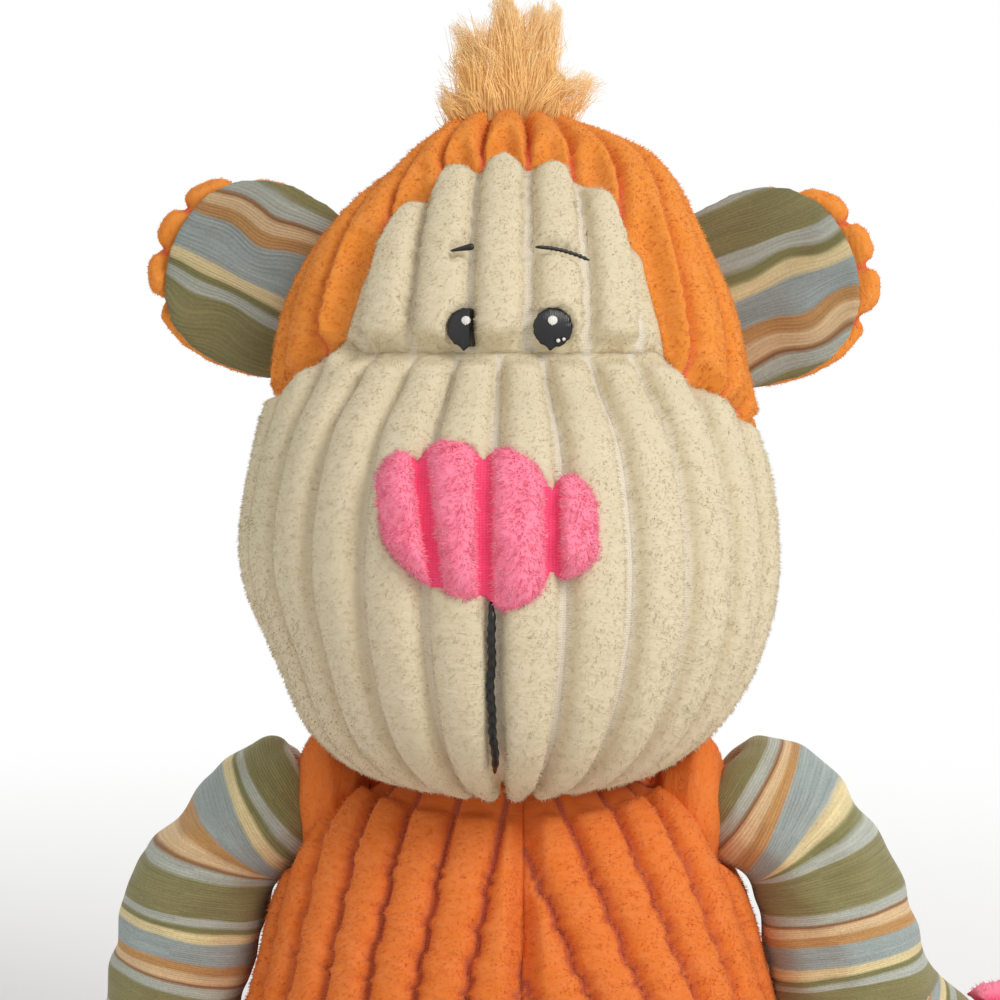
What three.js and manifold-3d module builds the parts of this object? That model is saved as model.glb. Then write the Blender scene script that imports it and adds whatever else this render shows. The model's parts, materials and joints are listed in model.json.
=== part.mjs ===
// A stuffed monkey, sitting. Millimetres, +Z up. It faces -Y, and its own left is +X.
// The origin is the middle of the flat seat panel, level with the floor that it sits on.
// Each cover is a shell of cloth around its own stuffing, and every limb turns on a ball at its root.

import * as THREE from "three";
import { mergeVertices } from "three/addons/utils/BufferGeometryUtils.js";
import Module from "manifold-3d";

const wasm = await Module();
wasm.setup();

// Cloth and clearances
const PLUSH = 3; // wide-wale plush, backing and pile together
const KNIT = 1.2; // striped jersey
const STITCH = 0.6; // height of the embroidery
const SEAM_GAP = 0.3; // between pieces that are sewn or packed together
const TURN_GAP = 0.6; // between faces that turn on each other
const SEAM_FOLD = 1.5; // folded seam allowance inside a joint

// Body and neck
const BODY_HEIGHT = 108;
const BODY_WIDTH = 126;
const BODY_DEPTH = 98;
const SEAT_RIM = 4; // what the side panels turn in under the seat
const NECK_RADIUS = 34;
const NECK_RISE = 10; // the neck's top above the shoulders' top

// Head
const HEAD_HEIGHT = 149;
const HEAD_WIDTH = 116;
const HEAD_DEPTH = 110;
const HEAD_FORWARD = 7; // the head's middle in front of the neck's
const CHIN_DROP = 18; // the chin below the neck's top
const FACE_WIDTH = 66; // upper face panel, at the crease above the muzzle
const FACE_TOP = 138; // above the chin
const CREASE = 91; // above the chin
const CHEEK_SEAM = 78; // where hood and muzzle meet at the side, above the chin
const CORONAL = 10; // the ear seam behind the head's middle

// Face
const NOSE_WIDTH = 50;
const NOSE_HEIGHT = 38;
const NOSE_RISE = 6;
const NOSE_LEVEL = 58; // above the chin
const EYE_WIDTH = 8.4;
const EYE_HEIGHT = 9;
const EYE_SPACING = 21;
const EYE_LEVEL = 100;
const GLINT_WIDTH = 2;
const BROW_LENGTH = 11;
const BROW_WIDTH = 1.2;
const BROW_SPACING = 25;
const BROW_LEVEL = 116;
const MOUTH_LENGTH = 33;
const MOUTH_WIDTH = 1.8;

// Ears and hair
const EAR_LENGTH = 33;
const EAR_WIDTH = 40;
const EAR_BACK = 5; // thickness of the plush back
const EAR_FRONT = 2; // thickness of the striped front
const EAR_RIM = 2.5; // plush that shows around the front
const EAR_LEVEL = 107; // above the chin
const EAR_TILT = THREE.MathUtils.degToRad(16);
const EAR_FOLD = THREE.MathUtils.degToRad(22); // room for folding at the root
const TUFT_WIDTH = 30;
const TUFT_HEIGHT = 24;

// Limbs: radius of the root ball, the middle and the end
const ARM_RADII = [14, 15.2, 13.5];
const LEG_RADII = [16.5, 16.5, 14];
const TAIL_RADII = [8.5, 8, 6.5];
const SHOULDER_LEVEL = 98;
const ELBOW_DROP = 35; // the elbow below the shoulder
const WRIST_DROP = 60; // the hanging wrist below the shoulder
const OUT_WRIST_DROP = 55; // the wrist that is turned out
const OUT_WRIST_REACH = 13; // how far its forearm reaches outwards
const ARM_CLEAR = 2; // air between an arm and the body
const HIP_SPREAD = 33; // hip to the middle
const LEG_LENGTH = 90; // hip to ankle
const LEG_SPLAY = THREE.MathUtils.degToRad(14);
const FLOOR_GAP = 0.5; // limbs lie this far above the seat's level
const HAND_LENGTH = 37; // from the wrist's middle
const HAND_WIDTH = 34;
const HAND_DEPTH = 24;
const FOOT_HEIGHT = 52;
const FOOT_WIDTH = 37;
const FOOT_DEPTH = 30;
const FOOT_FORWARD = 13; // the foot's middle in front of the ankle
const TAIL_LEVEL = 24;
const TAIL_LENGTH = 70; // straight part behind the body
const TAIL_CURL = 34; // how far its end curls sideways

// Stuffed shapes as shares of their own height, half width and half depth, from the lower end up
const BODY_PROFILE = [
  { up: 0, side: 0.75, front: 0.75, back: 0.77 }, // edge of the seat
  { up: 0.11, side: 0.94, front: 0.94, back: 0.94 }, // hips
  { up: 0.32, side: 1, front: 1, back: 0.98 }, // belly
  { up: 0.57, side: 0.89, front: 0.9, back: 0.86 }, // waist
  { up: 0.78, side: 0.8, front: 0.74, back: 0.71 }, // chest
  { up: 0.92, side: 0.69, front: 0.57, back: 0.57 }, // shoulders
  { up: 1, side: 0, front: 0, back: 0 },
];
const HEAD_PROFILE = [
  { up: 0, side: 0, front: 0, back: 0 },
  { up: 0.06, side: 0.62, front: 0.78, back: 0.54 }, // jaw
  { up: 0.19, side: 0.91, front: 1.05, back: 0.76 }, // cheeks
  { up: 0.36, side: 1, front: 1.13, back: 0.86 }, // nose
  { up: 0.54, side: 0.92, front: 1, back: 0.89 }, // top of the muzzle
  { up: 0.61, side: 0.88, front: 0.77, back: 0.88 }, // crease under the eyes
  { up: 0.71, side: 0.83, front: 0.75, back: 0.84 }, // brow
  { up: 0.82, side: 0.67, front: 0.63, back: 0.69 }, // temples
  { up: 0.93, side: 0.41, front: 0.38, back: 0.42 },
  { up: 1, side: 0, front: 0, back: 0 }, // crown
];
const HAND_PROFILE = [
  { up: 0, side: 0, front: 0, back: 0 }, // fingertips
  { up: 0.12, side: 0.66, front: 0.62, back: 0.62 },
  { up: 0.4, side: 1, front: 1, back: 1 },
  { up: 0.66, side: 0.86, front: 0.92, back: 0.92 },
  { up: 0.84, side: 0.66, front: 0.78, back: 0.78 }, // wrist
  { up: 1, side: 0, front: 0, back: 0 },
];
const FOOT_PROFILE = [
  { up: 0, side: 0, front: 0, back: 0 }, // heel
  { up: 0.1, side: 0.66, front: 0.66, back: 0.6 },
  { up: 0.36, side: 0.9, front: 0.94, back: 0.88 },
  { up: 0.66, side: 1, front: 1, back: 0.86 }, // ball of the foot
  { up: 0.9, side: 0.66, front: 0.7, back: 0.62 },
  { up: 1, side: 0, front: 0, back: 0 }, // toes
];

const ORANGE_PLUSH = { color: 0xf28a35, roughness: 0.95, metalness: 0 };
const CREAM_PLUSH = { color: 0xdccfb2, roughness: 0.95, metalness: 0 };
const PINK_PLUSH = { color: 0xf07d90, roughness: 0.95, metalness: 0 };
const STRIPED_KNIT = { color: 0x8f9678, roughness: 0.9, metalness: 0 };
const BLACK_THREAD = { color: 0x262322, roughness: 0.6, metalness: 0 };
const WHITE_THREAD = { color: 0xf4f2ec, roughness: 0.6, metalness: 0 };
const FAUX_FUR = { color: 0xd9b57d, roughness: 0.9, metalness: 0 };
const SEAM_CLOTH = { color: 0xd9772f, roughness: 0.95, metalness: 0 };
const FIBREFILL = { color: 0xf3f1ea, roughness: 1, metalness: 0 };

const FAR = 400; // longer than any piece, for cutting right through
const FULL_TURN = 2 * Math.PI;

// Solids: closed geometry to a solid, and back

function solid(geometry) {
  const bare = new THREE.BufferGeometry();
  bare.setAttribute("position", geometry.getAttribute("position"));
  bare.setIndex(geometry.index);
  const merged = mergeVertices(bare, 1e-4);
  const mesh = new wasm.Mesh({
    numProp: 3,
    vertProperties: merged.getAttribute("position").array,
    triVerts: new Uint32Array(merged.index.array),
  });
  return new wasm.Manifold(mesh);
}

function addPiece(group, name, piece, look) {
  const mesh = piece.getMesh();
  const geometry = new THREE.BufferGeometry();
  geometry.setAttribute("position", new THREE.BufferAttribute(new Float32Array(mesh.vertProperties), 3));
  geometry.setIndex(new THREE.BufferAttribute(new Uint32Array(mesh.triVerts), 1));
  const object = new THREE.Mesh(geometry, new THREE.MeshStandardMaterial(look));
  object.name = name;
  group.add(object);
}

function addGroup(parent, position) {
  const group = new THREE.Group();
  group.position.copy(position);
  parent.add(group);
  return group;
}

// The main body of a cut, without the crumbs that a cut may leave
function largest(piece) {
  const parts = piece.decompose();
  return parts.reduce((best, part) => (part.volume() > best.volume() ? part : best));
}

function cutAll(piece, cutters) {
  return cutters.reduce((rest, cutter) => rest.subtract(cutter), piece);
}

function ball(centre, radius, segments) {
  const geometry = new THREE.SphereGeometry(radius, segments, segments / 2);
  return solid(geometry.translate(centre.x, centre.y, centre.z));
}

function box(min, max) {
  const size = max.clone().sub(min);
  const centre = min.clone().add(max).divideScalar(2);
  const geometry = new THREE.BoxGeometry(size.x, size.y, size.z);
  return solid(geometry.translate(centre.x, centre.y, centre.z));
}

// A ring cut from a hollow ball, between two angles from its axis, which is local +Z
function ballRing(radius, thickness, from, to, segments) {
  const steps = 3;
  const points = [];
  for (let i = 0; i <= steps; i++) {
    const angle = THREE.MathUtils.lerp(from, to, i / steps);
    points.push(new THREE.Vector2(Math.sin(angle), Math.cos(angle)).multiplyScalar(radius));
  }
  for (let i = steps; i >= 0; i--) {
    const angle = THREE.MathUtils.lerp(from, to, i / steps);
    points.push(new THREE.Vector2(Math.sin(angle), Math.cos(angle)).multiplyScalar(radius + thickness));
  }
  points.push(points[0].clone());
  return new THREE.LatheGeometry(points, segments).rotateX(Math.PI / 2);
}

// An outline in X and Z, pushed through from the middle to the front
function frontPrism(shape) {
  return solid(new THREE.ExtrudeGeometry(shape, { depth: FAR, bevelEnabled: false, curveSegments: 5 })
    .rotateX(Math.PI / 2));
}

// An outline in Y and Z, pushed through from side to side
function sidePrism(shape) {
  const turn = new THREE.Matrix4().makeBasis(
    new THREE.Vector3(0, 1, 0),
    new THREE.Vector3(0, 0, 1),
    new THREE.Vector3(1, 0, 0),
  );
  return solid(new THREE.ExtrudeGeometry(shape, { depth: 2 * FAR, bevelEnabled: false })
    .translate(0, 0, -FAR)
    .applyMatrix4(turn));
}

// Skin of rings between two end points, each ring turning left around the way from start to end
function closedRings(start, rings, end) {
  const sides = rings[0].length;
  const points = [start, ...rings.flat(), end];
  const faces = [];
  const corner = (ring, k) => 1 + ring * sides + (k % sides);
  for (let k = 0; k < sides; k++) {
    faces.push(0, corner(0, k + 1), corner(0, k));
    for (let ring = 0; ring < rings.length - 1; ring++) {
      const [a, b] = [corner(ring, k), corner(ring, k + 1)];
      const [c, d] = [corner(ring + 1, k + 1), corner(ring + 1, k)];
      faces.push(a, b, c, a, c, d);
    }
    faces.push(points.length - 1, corner(rings.length - 1, k), corner(rings.length - 1, k + 1));
  }
  return new THREE.BufferGeometry().setFromPoints(points).setIndex(faces);
}

// Upright stuffed shapes

function makeForm(profile, height, width, depth, base) {
  const rows = profile.map((row) => ({
    z: row.up * height,
    side: (row.side * width) / 2,
    front: (row.front * depth) / 2,
    back: (row.back * depth) / 2,
  }));
  return { rows, base };
}

// A row's number, also one row past either end: mirrored at a closed end, carried on at an open one
function rowValue(rows, index, key) {
  if (index >= 0 && index < rows.length) return rows[index][key];
  const [end, next] = index < 0 ? [rows[0], rows[1]] : [rows.at(-1), rows.at(-2)];
  if (end.side > 0) return 2 * end[key] - next[key];
  return key === "z" ? next.z : -next[key];
}

// The smooth shape's row at t, from 0 at its lower end to 1 at its upper end
function rowAt(form, t) {
  const last = form.rows.length - 1;
  const spot = THREE.MathUtils.clamp(t, 0, 1) * last;
  const index = Math.min(Math.floor(spot), last - 1);
  const f = spot - index;
  const row = {};
  for (const key of ["z", "side", "front", "back"]) {
    const [a, b, c, d] = [-1, 0, 1, 2].map((step) => rowValue(form.rows, index + step, key));
    const bend = 2 * a - 5 * b + 4 * c - d;
    const twist = 3 * b - a - 3 * c + d;
    row[key] = b + 0.5 * f * (c - a + f * (bend + f * twist));
  }
  return row;
}

function rowAtHeight(form, z) {
  let [low, high] = [0, 1];
  for (let i = 0; i < 30; i++) {
    const middle = (low + high) / 2;
    if (rowAt(form, middle).z < z) low = middle;
    else high = middle;
  }
  return rowAt(form, low);
}

// How far the front of a form lies before its middle, at a height and a distance to the side
function frontReach(form, z, x) {
  const row = rowAtHeight(form, z);
  return row.front * Math.sqrt(Math.max(0, 1 - (x / row.side) ** 2));
}

// A point of the form at t and an angle that starts at the front and turns to the toy's left
function formPoint(form, t, angle) {
  const row = rowAt(form, t);
  const depth = Math.cos(angle) > 0 ? row.front : row.back;
  return new THREE.Vector3(row.side * Math.sin(angle), -depth * Math.cos(angle), row.z).add(form.base);
}

// The same point moved out of the skin by offset, or into it where offset is negative
function skinPoint(form, t, angle, offset) {
  const step = 1e-3;
  const around = formPoint(form, t, angle + step).sub(formPoint(form, t, angle - step));
  const up = formPoint(form, t + step, angle).sub(formPoint(form, t - step, angle));
  const normal = around.cross(up).normalize();
  return formPoint(form, t, angle).addScaledVector(normal, offset);
}

function uprightForm(form, offset, sides, stepsPerRow) {
  const count = (form.rows.length - 1) * stepsPerRow;
  const flat = form.rows[0].side > 0;
  const rings = [];
  for (let i = flat ? 0 : 1; i < count; i++) {
    const ring = [];
    for (let k = 0; k < sides; k++) {
      ring.push(skinPoint(form, i / count, (k / sides) * FULL_TURN, offset));
    }
    rings.push(ring);
  }
  const bottom = form.base.clone();
  bottom.z += form.rows[0].z - offset;
  if (flat) rings[0].forEach((point) => point.setZ(bottom.z));
  const top = form.base.clone();
  top.z += form.rows.at(-1).z + offset;
  return solid(closedRings(bottom, rings, top));
}

// A stuffed tube along a route, with a half ball at each end
function limbForm(points, radii, offset, sides, steps) {
  const domeSteps = 3;
  const curve = new THREE.CatmullRomCurve3(points);
  const frames = curve.computeFrenetFrames(steps);
  const swell = new THREE.SplineCurve(radii.map((radius, i) => new THREE.Vector2(i, radius)));
  const ring = (centre, i, radius) => {
    const corners = [];
    for (let k = 0; k < sides; k++) {
      const angle = (k / sides) * FULL_TURN;
      corners.push(centre.clone()
        .addScaledVector(frames.normals[i], radius * Math.cos(angle))
        .addScaledVector(frames.binormals[i], radius * Math.sin(angle)));
    }
    return corners;
  };
  const [root, tip] = [points[0], points.at(-1)];
  const [rootWay, tipWay] = [frames.tangents[0], frames.tangents[steps]];
  const [rootRadius, tipRadius] = [radii[0] + offset, radii.at(-1) + offset];
  const rings = [];
  for (let k = 1; k <= domeSteps; k++) {
    const angle = ((k / domeSteps) * Math.PI) / 2;
    const centre = root.clone().addScaledVector(rootWay, -rootRadius * Math.cos(angle));
    rings.push(ring(centre, 0, rootRadius * Math.sin(angle)));
  }
  for (let i = 1; i < steps; i++) {
    rings.push(ring(curve.getPointAt(i / steps), i, swell.getPoint(i / steps).y + offset));
  }
  for (let k = domeSteps; k >= 1; k--) {
    const angle = ((k / domeSteps) * Math.PI) / 2;
    const centre = tip.clone().addScaledVector(tipWay, tipRadius * Math.cos(angle));
    rings.push(ring(centre, steps, tipRadius * Math.sin(angle)));
  }
  const start = root.clone().addScaledVector(rootWay, -rootRadius);
  const end = tip.clone().addScaledVector(tipWay, tipRadius);
  return solid(closedRings(start, rings, end));
}

const monkey = new THREE.Group();
const origin = new THREE.Vector3();
const sides = [{ name: "left", sign: 1 }, { name: "right", sign: -1 }];

// Places that several pieces share
const bodyForm = makeForm(BODY_PROFILE, BODY_HEIGHT, BODY_WIDTH, BODY_DEPTH, origin);
const neck = new THREE.Vector3(0, 0, BODY_HEIGHT + NECK_RISE - NECK_RADIUS);
const neckSocket = NECK_RADIUS + SEAM_FOLD + 2 * TURN_GAP;
const shoulderSocket = ARM_RADII[0] + SEAM_FOLD + 2 * TURN_GAP;
const hipLevel = Math.max(...LEG_RADII) + FLOOR_GAP;
const hipDepth = frontReach(bodyForm, hipLevel, HIP_SPREAD);
const tailRoot = new THREE.Vector3(0, rowAtHeight(bodyForm, TAIL_LEVEL).back + 2, TAIL_LEVEL);

function shoulderOf(sign) {
  return new THREE.Vector3(sign * (rowAtHeight(bodyForm, SHOULDER_LEVEL).side + 7), 0, SHOULDER_LEVEL);
}

function hipOf(sign) {
  return new THREE.Vector3(sign * HIP_SPREAD, -hipDepth, hipLevel);
}

// Body: four side panels, a flat seat panel and the stuffing

// Room for a leg that swings from straight ahead to straight down: round behind the hip, open below
function legRoom(sign) {
  const hip = hipOf(sign);
  const radius = Math.max(...LEG_RADII) + TURN_GAP;
  const shape = new THREE.Shape();
  shape.moveTo(-FAR, -FAR);
  shape.lineTo(hip.y + radius, -FAR);
  shape.absarc(hip.y, hip.z, radius, 0, Math.PI / 2, false);
  shape.lineTo(-FAR, hip.z + radius);
  const slab = box(new THREE.Vector3(hip.x - radius, -FAR, -FAR), new THREE.Vector3(hip.x + radius, FAR, FAR));
  return sidePrism(shape).intersect(slab);
}

const bodyRooms = [
  ...sides.map(({ sign }) => ball(shoulderOf(sign), shoulderSocket, 20)),
  ...sides.map(({ sign }) => legRoom(sign)),
  ball(tailRoot, TAIL_RADII[0] + TURN_GAP, 16),
];
const seatEdge = bodyForm.rows[0];

function seatDisc(grow) {
  const shape = new THREE.Shape();
  const across = seatEdge.side - SEAT_RIM + grow;
  const along = seatEdge.front - SEAT_RIM + grow;
  shape.absellipse(0, 0, across, along, 0, FULL_TURN);
  const disc = new THREE.ExtrudeGeometry(shape, { depth: PLUSH + 2, bevelEnabled: false, curveSegments: 12 });
  return solid(disc.translate(0, 0, -2));
}

const bodySkin = uprightForm(bodyForm, 0, 24, 2).add(ball(neck, NECK_RADIUS, 24));
const bodyHollow = uprightForm(bodyForm, -PLUSH, 12, 1).add(ball(neck, NECK_RADIUS - PLUSH, 12));
const bodyFill = uprightForm(bodyForm, -PLUSH - SEAM_GAP, 12, 1)
  .add(ball(neck, NECK_RADIUS - PLUSH - SEAM_GAP, 12));
const bodyShell = cutAll(bodySkin.subtract(bodyHollow), bodyRooms);
const bodySides = bodyShell.subtract(seatDisc(SEAM_GAP));
for (const { name, sign } of sides) {
  for (const [end, way] of [["front", -1], ["back", 1]]) {
    const inner = new THREE.Vector3((sign * SEAM_GAP) / 2, (way * SEAM_GAP) / 2, -FAR);
    const outer = new THREE.Vector3(sign * FAR, way * FAR, FAR);
    const quarter = box(inner.clone().min(outer), inner.clone().max(outer));
    addPiece(monkey, `body_${end}_${name}`, largest(bodySides.intersect(quarter)), ORANGE_PLUSH);
  }
}
addPiece(monkey, "seat_panel", largest(bodyShell.intersect(seatDisc(0))), ORANGE_PLUSH);
addPiece(monkey, "body_stuffing", largest(cutAll(bodyFill, bodyRooms)), FIBREFILL);

// Neck: the folded seam between body and head, then the head, both about the neck's middle

const neckGroup = addGroup(monkey, neck);
const neckFold = ballRing(NECK_RADIUS + TURN_GAP, SEAM_FOLD, Math.PI / 7, Math.PI / 3.3, 24);
addPiece(neckGroup, "neck_seam", solid(neckFold), SEAM_CLOTH);

const headGroup = addGroup(neckGroup, origin);
const chin = NECK_RADIUS - CHIN_DROP;
const headBase = new THREE.Vector3(0, -HEAD_FORWARD, chin);
const headForm = makeForm(HEAD_PROFILE, HEAD_HEIGHT, HEAD_WIDTH, HEAD_DEPTH, headBase);
const earSeam = CORONAL - HEAD_FORWARD;

function headSkin(offset) {
  return uprightForm(headForm, offset, 32, 2);
}

// The muzzle's side view: up to the crease at the front, sloping down to the ear seam
function muzzleBlock(grow) {
  const top = chin + CREASE + grow;
  const corner = -HEAD_FORWARD - frontReach(headForm, CREASE, FACE_WIDTH / 2);
  const shape = new THREE.Shape();
  shape.moveTo(-FAR, -FAR);
  shape.lineTo(earSeam - SEAM_GAP + grow, -FAR);
  shape.lineTo(earSeam - SEAM_GAP + grow, chin + CHEEK_SEAM + grow);
  shape.lineTo(corner, top);
  shape.lineTo(-FAR, top);
  return sidePrism(shape);
}

// The upper face's front view: straight sides that close to a round top
function faceBlock(grow) {
  const half = FACE_WIDTH / 2 + grow;
  const low = chin + CREASE - 10;
  const top = chin + FACE_TOP + grow;
  const shape = new THREE.Shape();
  shape.moveTo(-half, low);
  shape.lineTo(half, low);
  shape.lineTo(half, chin + CREASE);
  shape.bezierCurveTo(half * 0.82, chin + CREASE + 18, half * 0.86, top, 0, top);
  shape.bezierCurveTo(-half * 0.86, top, -half * 0.82, chin + CREASE + 18, -half, chin + CREASE);
  return frontPrism(shape);
}

const headHollow = uprightForm(headForm, -PLUSH, 16, 1);
const headFill = uprightForm(headForm, -PLUSH - SEAM_GAP, 16, 1);
const neckRoom = ball(origin, neckSocket, 28);
const headShell = headSkin(0).subtract(headHollow).subtract(neckRoom);
const wideMuzzle = muzzleBlock(SEAM_GAP);
const hood = headShell.subtract(wideMuzzle).subtract(faceBlock(SEAM_GAP));
const ahead = new THREE.Vector3(FAR, earSeam - SEAM_GAP / 2, FAR);
const behind = new THREE.Vector3(-FAR, earSeam + SEAM_GAP / 2, -FAR);
const lowCorner = new THREE.Vector3(-FAR, -FAR, -FAR);
const highCorner = new THREE.Vector3(FAR, FAR, FAR);
addPiece(headGroup, "hood_front", largest(hood.intersect(box(lowCorner, ahead))), ORANGE_PLUSH);
addPiece(headGroup, "hood_back", largest(hood.intersect(box(behind, highCorner))), ORANGE_PLUSH);
addPiece(headGroup, "face_panel", largest(headShell.intersect(faceBlock(0)).subtract(wideMuzzle)), CREAM_PLUSH);
addPiece(headGroup, "muzzle_panel", largest(headShell.intersect(muzzleBlock(0))), CREAM_PLUSH);
addPiece(headGroup, "head_stuffing", largest(headFill.subtract(neckRoom)), FIBREFILL);

// Face: a padded nose and flat embroidery, all lying on the head's skin

const faceBed = headSkin(SEAM_GAP);
const stitchTop = headSkin(SEAM_GAP + STITCH);

function embroider(name, shape, look) {
  addPiece(headGroup, name, largest(stitchTop.intersect(frontPrism(shape)).subtract(faceBed)), look);
}

// Wide and rounded above, closing to a low point at the mouth
function noseShape() {
  const [half, up] = [NOSE_WIDTH / 2, NOSE_HEIGHT / 2];
  const middle = chin + NOSE_LEVEL;
  const shape = new THREE.Shape();
  shape.moveTo(0, middle - up);
  shape.bezierCurveTo(half * 0.5, middle - up, half, middle - up * 0.5, half, middle + up * 0.2);
  shape.bezierCurveTo(half, middle + up * 0.8, half * 0.7, middle + up, 0, middle + up);
  shape.bezierCurveTo(-half * 0.7, middle + up, -half, middle + up * 0.8, -half, middle + up * 0.2);
  shape.bezierCurveTo(-half, middle - up * 0.5, -half * 0.5, middle - up, 0, middle - up);
  return shape;
}

const noseFront = HEAD_FORWARD + frontReach(headForm, NOSE_LEVEL, 0) + NOSE_RISE;
const noseDome = new THREE.SphereGeometry(1, 18, 10)
  .scale(NOSE_WIDTH * 0.62, NOSE_WIDTH * 0.5, NOSE_HEIGHT * 0.66)
  .translate(0, NOSE_WIDTH * 0.5 - noseFront, chin + NOSE_LEVEL);
const nosePad = solid(noseDome).intersect(frontPrism(noseShape())).subtract(faceBed);
addPiece(headGroup, "nose_pad", largest(nosePad), PINK_PLUSH);

const mouthTop = chin + NOSE_LEVEL - NOSE_HEIGHT / 2 - 1.5;
const mouth = new THREE.Shape();
mouth.moveTo(-MOUTH_WIDTH / 2, mouthTop - MOUTH_LENGTH);
mouth.lineTo(MOUTH_WIDTH / 2, mouthTop - MOUTH_LENGTH);
mouth.lineTo(MOUTH_WIDTH / 2, mouthTop);
mouth.lineTo(-MOUTH_WIDTH / 2, mouthTop);
embroider("mouth_stitch", mouth, BLACK_THREAD);

const glintBed = headSkin(2 * SEAM_GAP + STITCH);
const glintTop = headSkin(2 * SEAM_GAP + 2 * STITCH);
for (const { name, sign } of sides) {
  const eye = new THREE.Shape();
  const [eyeX, eyeZ] = [(sign * EYE_SPACING) / 2, chin + EYE_LEVEL];
  eye.absellipse(eyeX, eyeZ, EYE_WIDTH / 2, EYE_HEIGHT / 2, 0, FULL_TURN);
  embroider(`${name}_eye`, eye, BLACK_THREAD);

  const glint = new THREE.Shape();
  glint.absarc(eyeX, eyeZ + EYE_HEIGHT * 0.16, GLINT_WIDTH / 2, 0, FULL_TURN);
  const shine = glintTop.intersect(frontPrism(glint)).subtract(glintBed);
  addPiece(headGroup, `${name}_eye_glint`, largest(shine), WHITE_THREAD);

  const brow = new THREE.Shape();
  const [browX, browZ] = [(sign * BROW_SPACING) / 2, chin + BROW_LEVEL];
  const radius = BROW_LENGTH;
  const spread = BROW_LENGTH / radius / 2;
  const lean = Math.PI / 2 - sign * 0.25;
  const centre = new THREE.Vector2(browX, browZ)
    .sub(new THREE.Vector2(Math.cos(lean), Math.sin(lean)).multiplyScalar(radius));
  brow.absarc(centre.x, centre.y, radius + BROW_WIDTH / 2, lean - spread, lean + spread, false);
  brow.absarc(centre.x, centre.y, radius - BROW_WIDTH / 2, lean + spread, lean - spread, true);
  embroider(`${name}_brow`, brow, BLACK_THREAD);
}

// Ears: a plush back and a striped front, on a straight root seam at the side of the head

function earShape(inset) {
  const half = EAR_WIDTH / 2 - inset;
  const tip = EAR_LENGTH - inset;
  const shape = new THREE.Shape();
  shape.moveTo(-1, -half * 0.86);
  shape.bezierCurveTo(tip * 0.25, -half * 1.12, tip * 0.72, -half * 1.08, tip * 0.92, -half * 0.55);
  shape.bezierCurveTo(tip * 1.03, -half * 0.25, tip * 1.03, half * 0.3, tip * 0.9, half * 0.6);
  shape.bezierCurveTo(tip * 0.7, half * 1.08, tip * 0.25, half * 1.08, -1, half * 0.86);
  return shape;
}

function earLayer(inset, from, thickness) {
  const bevel = thickness * 0.3;
  const layer = new THREE.ExtrudeGeometry(earShape(inset + bevel), {
    depth: thickness - 2 * bevel,
    bevelThickness: bevel,
    bevelSize: bevel,
    bevelSegments: 1,
    curveSegments: 5,
  });
  return solid(layer.translate(0, 0, from + bevel));
}

// What has to be clear at the root, so that the ear can fold both ways
function foldRoom() {
  const slope = Math.tan(EAR_FOLD);
  const shape = new THREE.Shape();
  shape.moveTo(-FAR, -FAR);
  shape.lineTo(FAR * slope + SEAM_GAP, -FAR);
  shape.lineTo(SEAM_GAP, 0);
  shape.lineTo(FAR * slope + SEAM_GAP, FAR);
  shape.lineTo(-FAR, FAR);
  return solid(new THREE.ExtrudeGeometry(shape, { depth: 2 * FAR, bevelEnabled: false })
    .translate(0, 0, -FAR)
    .rotateX(Math.PI / 2));
}

const earRow = rowAtHeight(headForm, EAR_LEVEL);
const earReach = earRow.side * Math.sqrt(1 - (CORONAL / earRow.back) ** 2);
for (const { name, sign } of sides) {
  const place = new THREE.Vector3(sign * earReach, earSeam, chin + EAR_LEVEL);
  const outward = new THREE.Vector3(sign * Math.cos(EAR_TILT), 0, Math.sin(EAR_TILT));
  const forward = new THREE.Vector3(0, -1, 0);
  const along = forward.clone().cross(outward);
  const ear = addGroup(headGroup, place);
  ear.quaternion.setFromRotationMatrix(new THREE.Matrix4().makeBasis(outward, along, forward));
  const middle = (EAR_BACK + SEAM_GAP + EAR_FRONT) / 2;
  const back = earLayer(0, -middle, EAR_BACK).subtract(foldRoom());
  const front = earLayer(EAR_RIM, middle - EAR_FRONT, EAR_FRONT).subtract(foldRoom());
  addPiece(ear, `${name}_ear_back`, largest(back), ORANGE_PLUSH);
  addPiece(ear, `${name}_ear_front`, largest(front), STRIPED_KNIT);
}

// Hair: locks of fur that fan out from the crown

const locks = [
  { lean: 0.02, nod: 0.1, length: 1 },
  { lean: -0.5, nod: -0.1, length: 0.86 },
  { lean: 0.45, nod: -0.2, length: 0.92 },
  { lean: 1.05, nod: 0.2, length: 0.72 },
  { lean: -1, nod: 0.25, length: 0.62 },
];
const crown = new THREE.Vector3(0, -HEAD_FORWARD, chin + HEAD_HEIGHT);
const lockSolids = locks.map(({ lean, nod, length }) => {
  const height = TUFT_HEIGHT * length + 6;
  const cone = new THREE.ConeGeometry(TUFT_WIDTH * 0.33, height, 6).rotateX(Math.PI / 2);
  cone.translate(0, 0, height / 2 - 6).rotateX(nod).rotateY(lean);
  return solid(cone.translate(crown.x, crown.y, crown.z));
});
const tuftRoot = new THREE.SphereGeometry(1, 10, 6)
  .scale(TUFT_WIDTH * 0.46, TUFT_WIDTH * 0.36, 7)
  .translate(crown.x, crown.y, crown.z);
const tuft = lockSolids.reduce((all, lock) => all.add(lock), solid(tuftRoot)).subtract(faceBed);
addPiece(headGroup, "hair_tuft", largest(tuft), FAUX_FUR);

// Limbs: a cloth tube, open inside its root ball, around its stuffing

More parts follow.
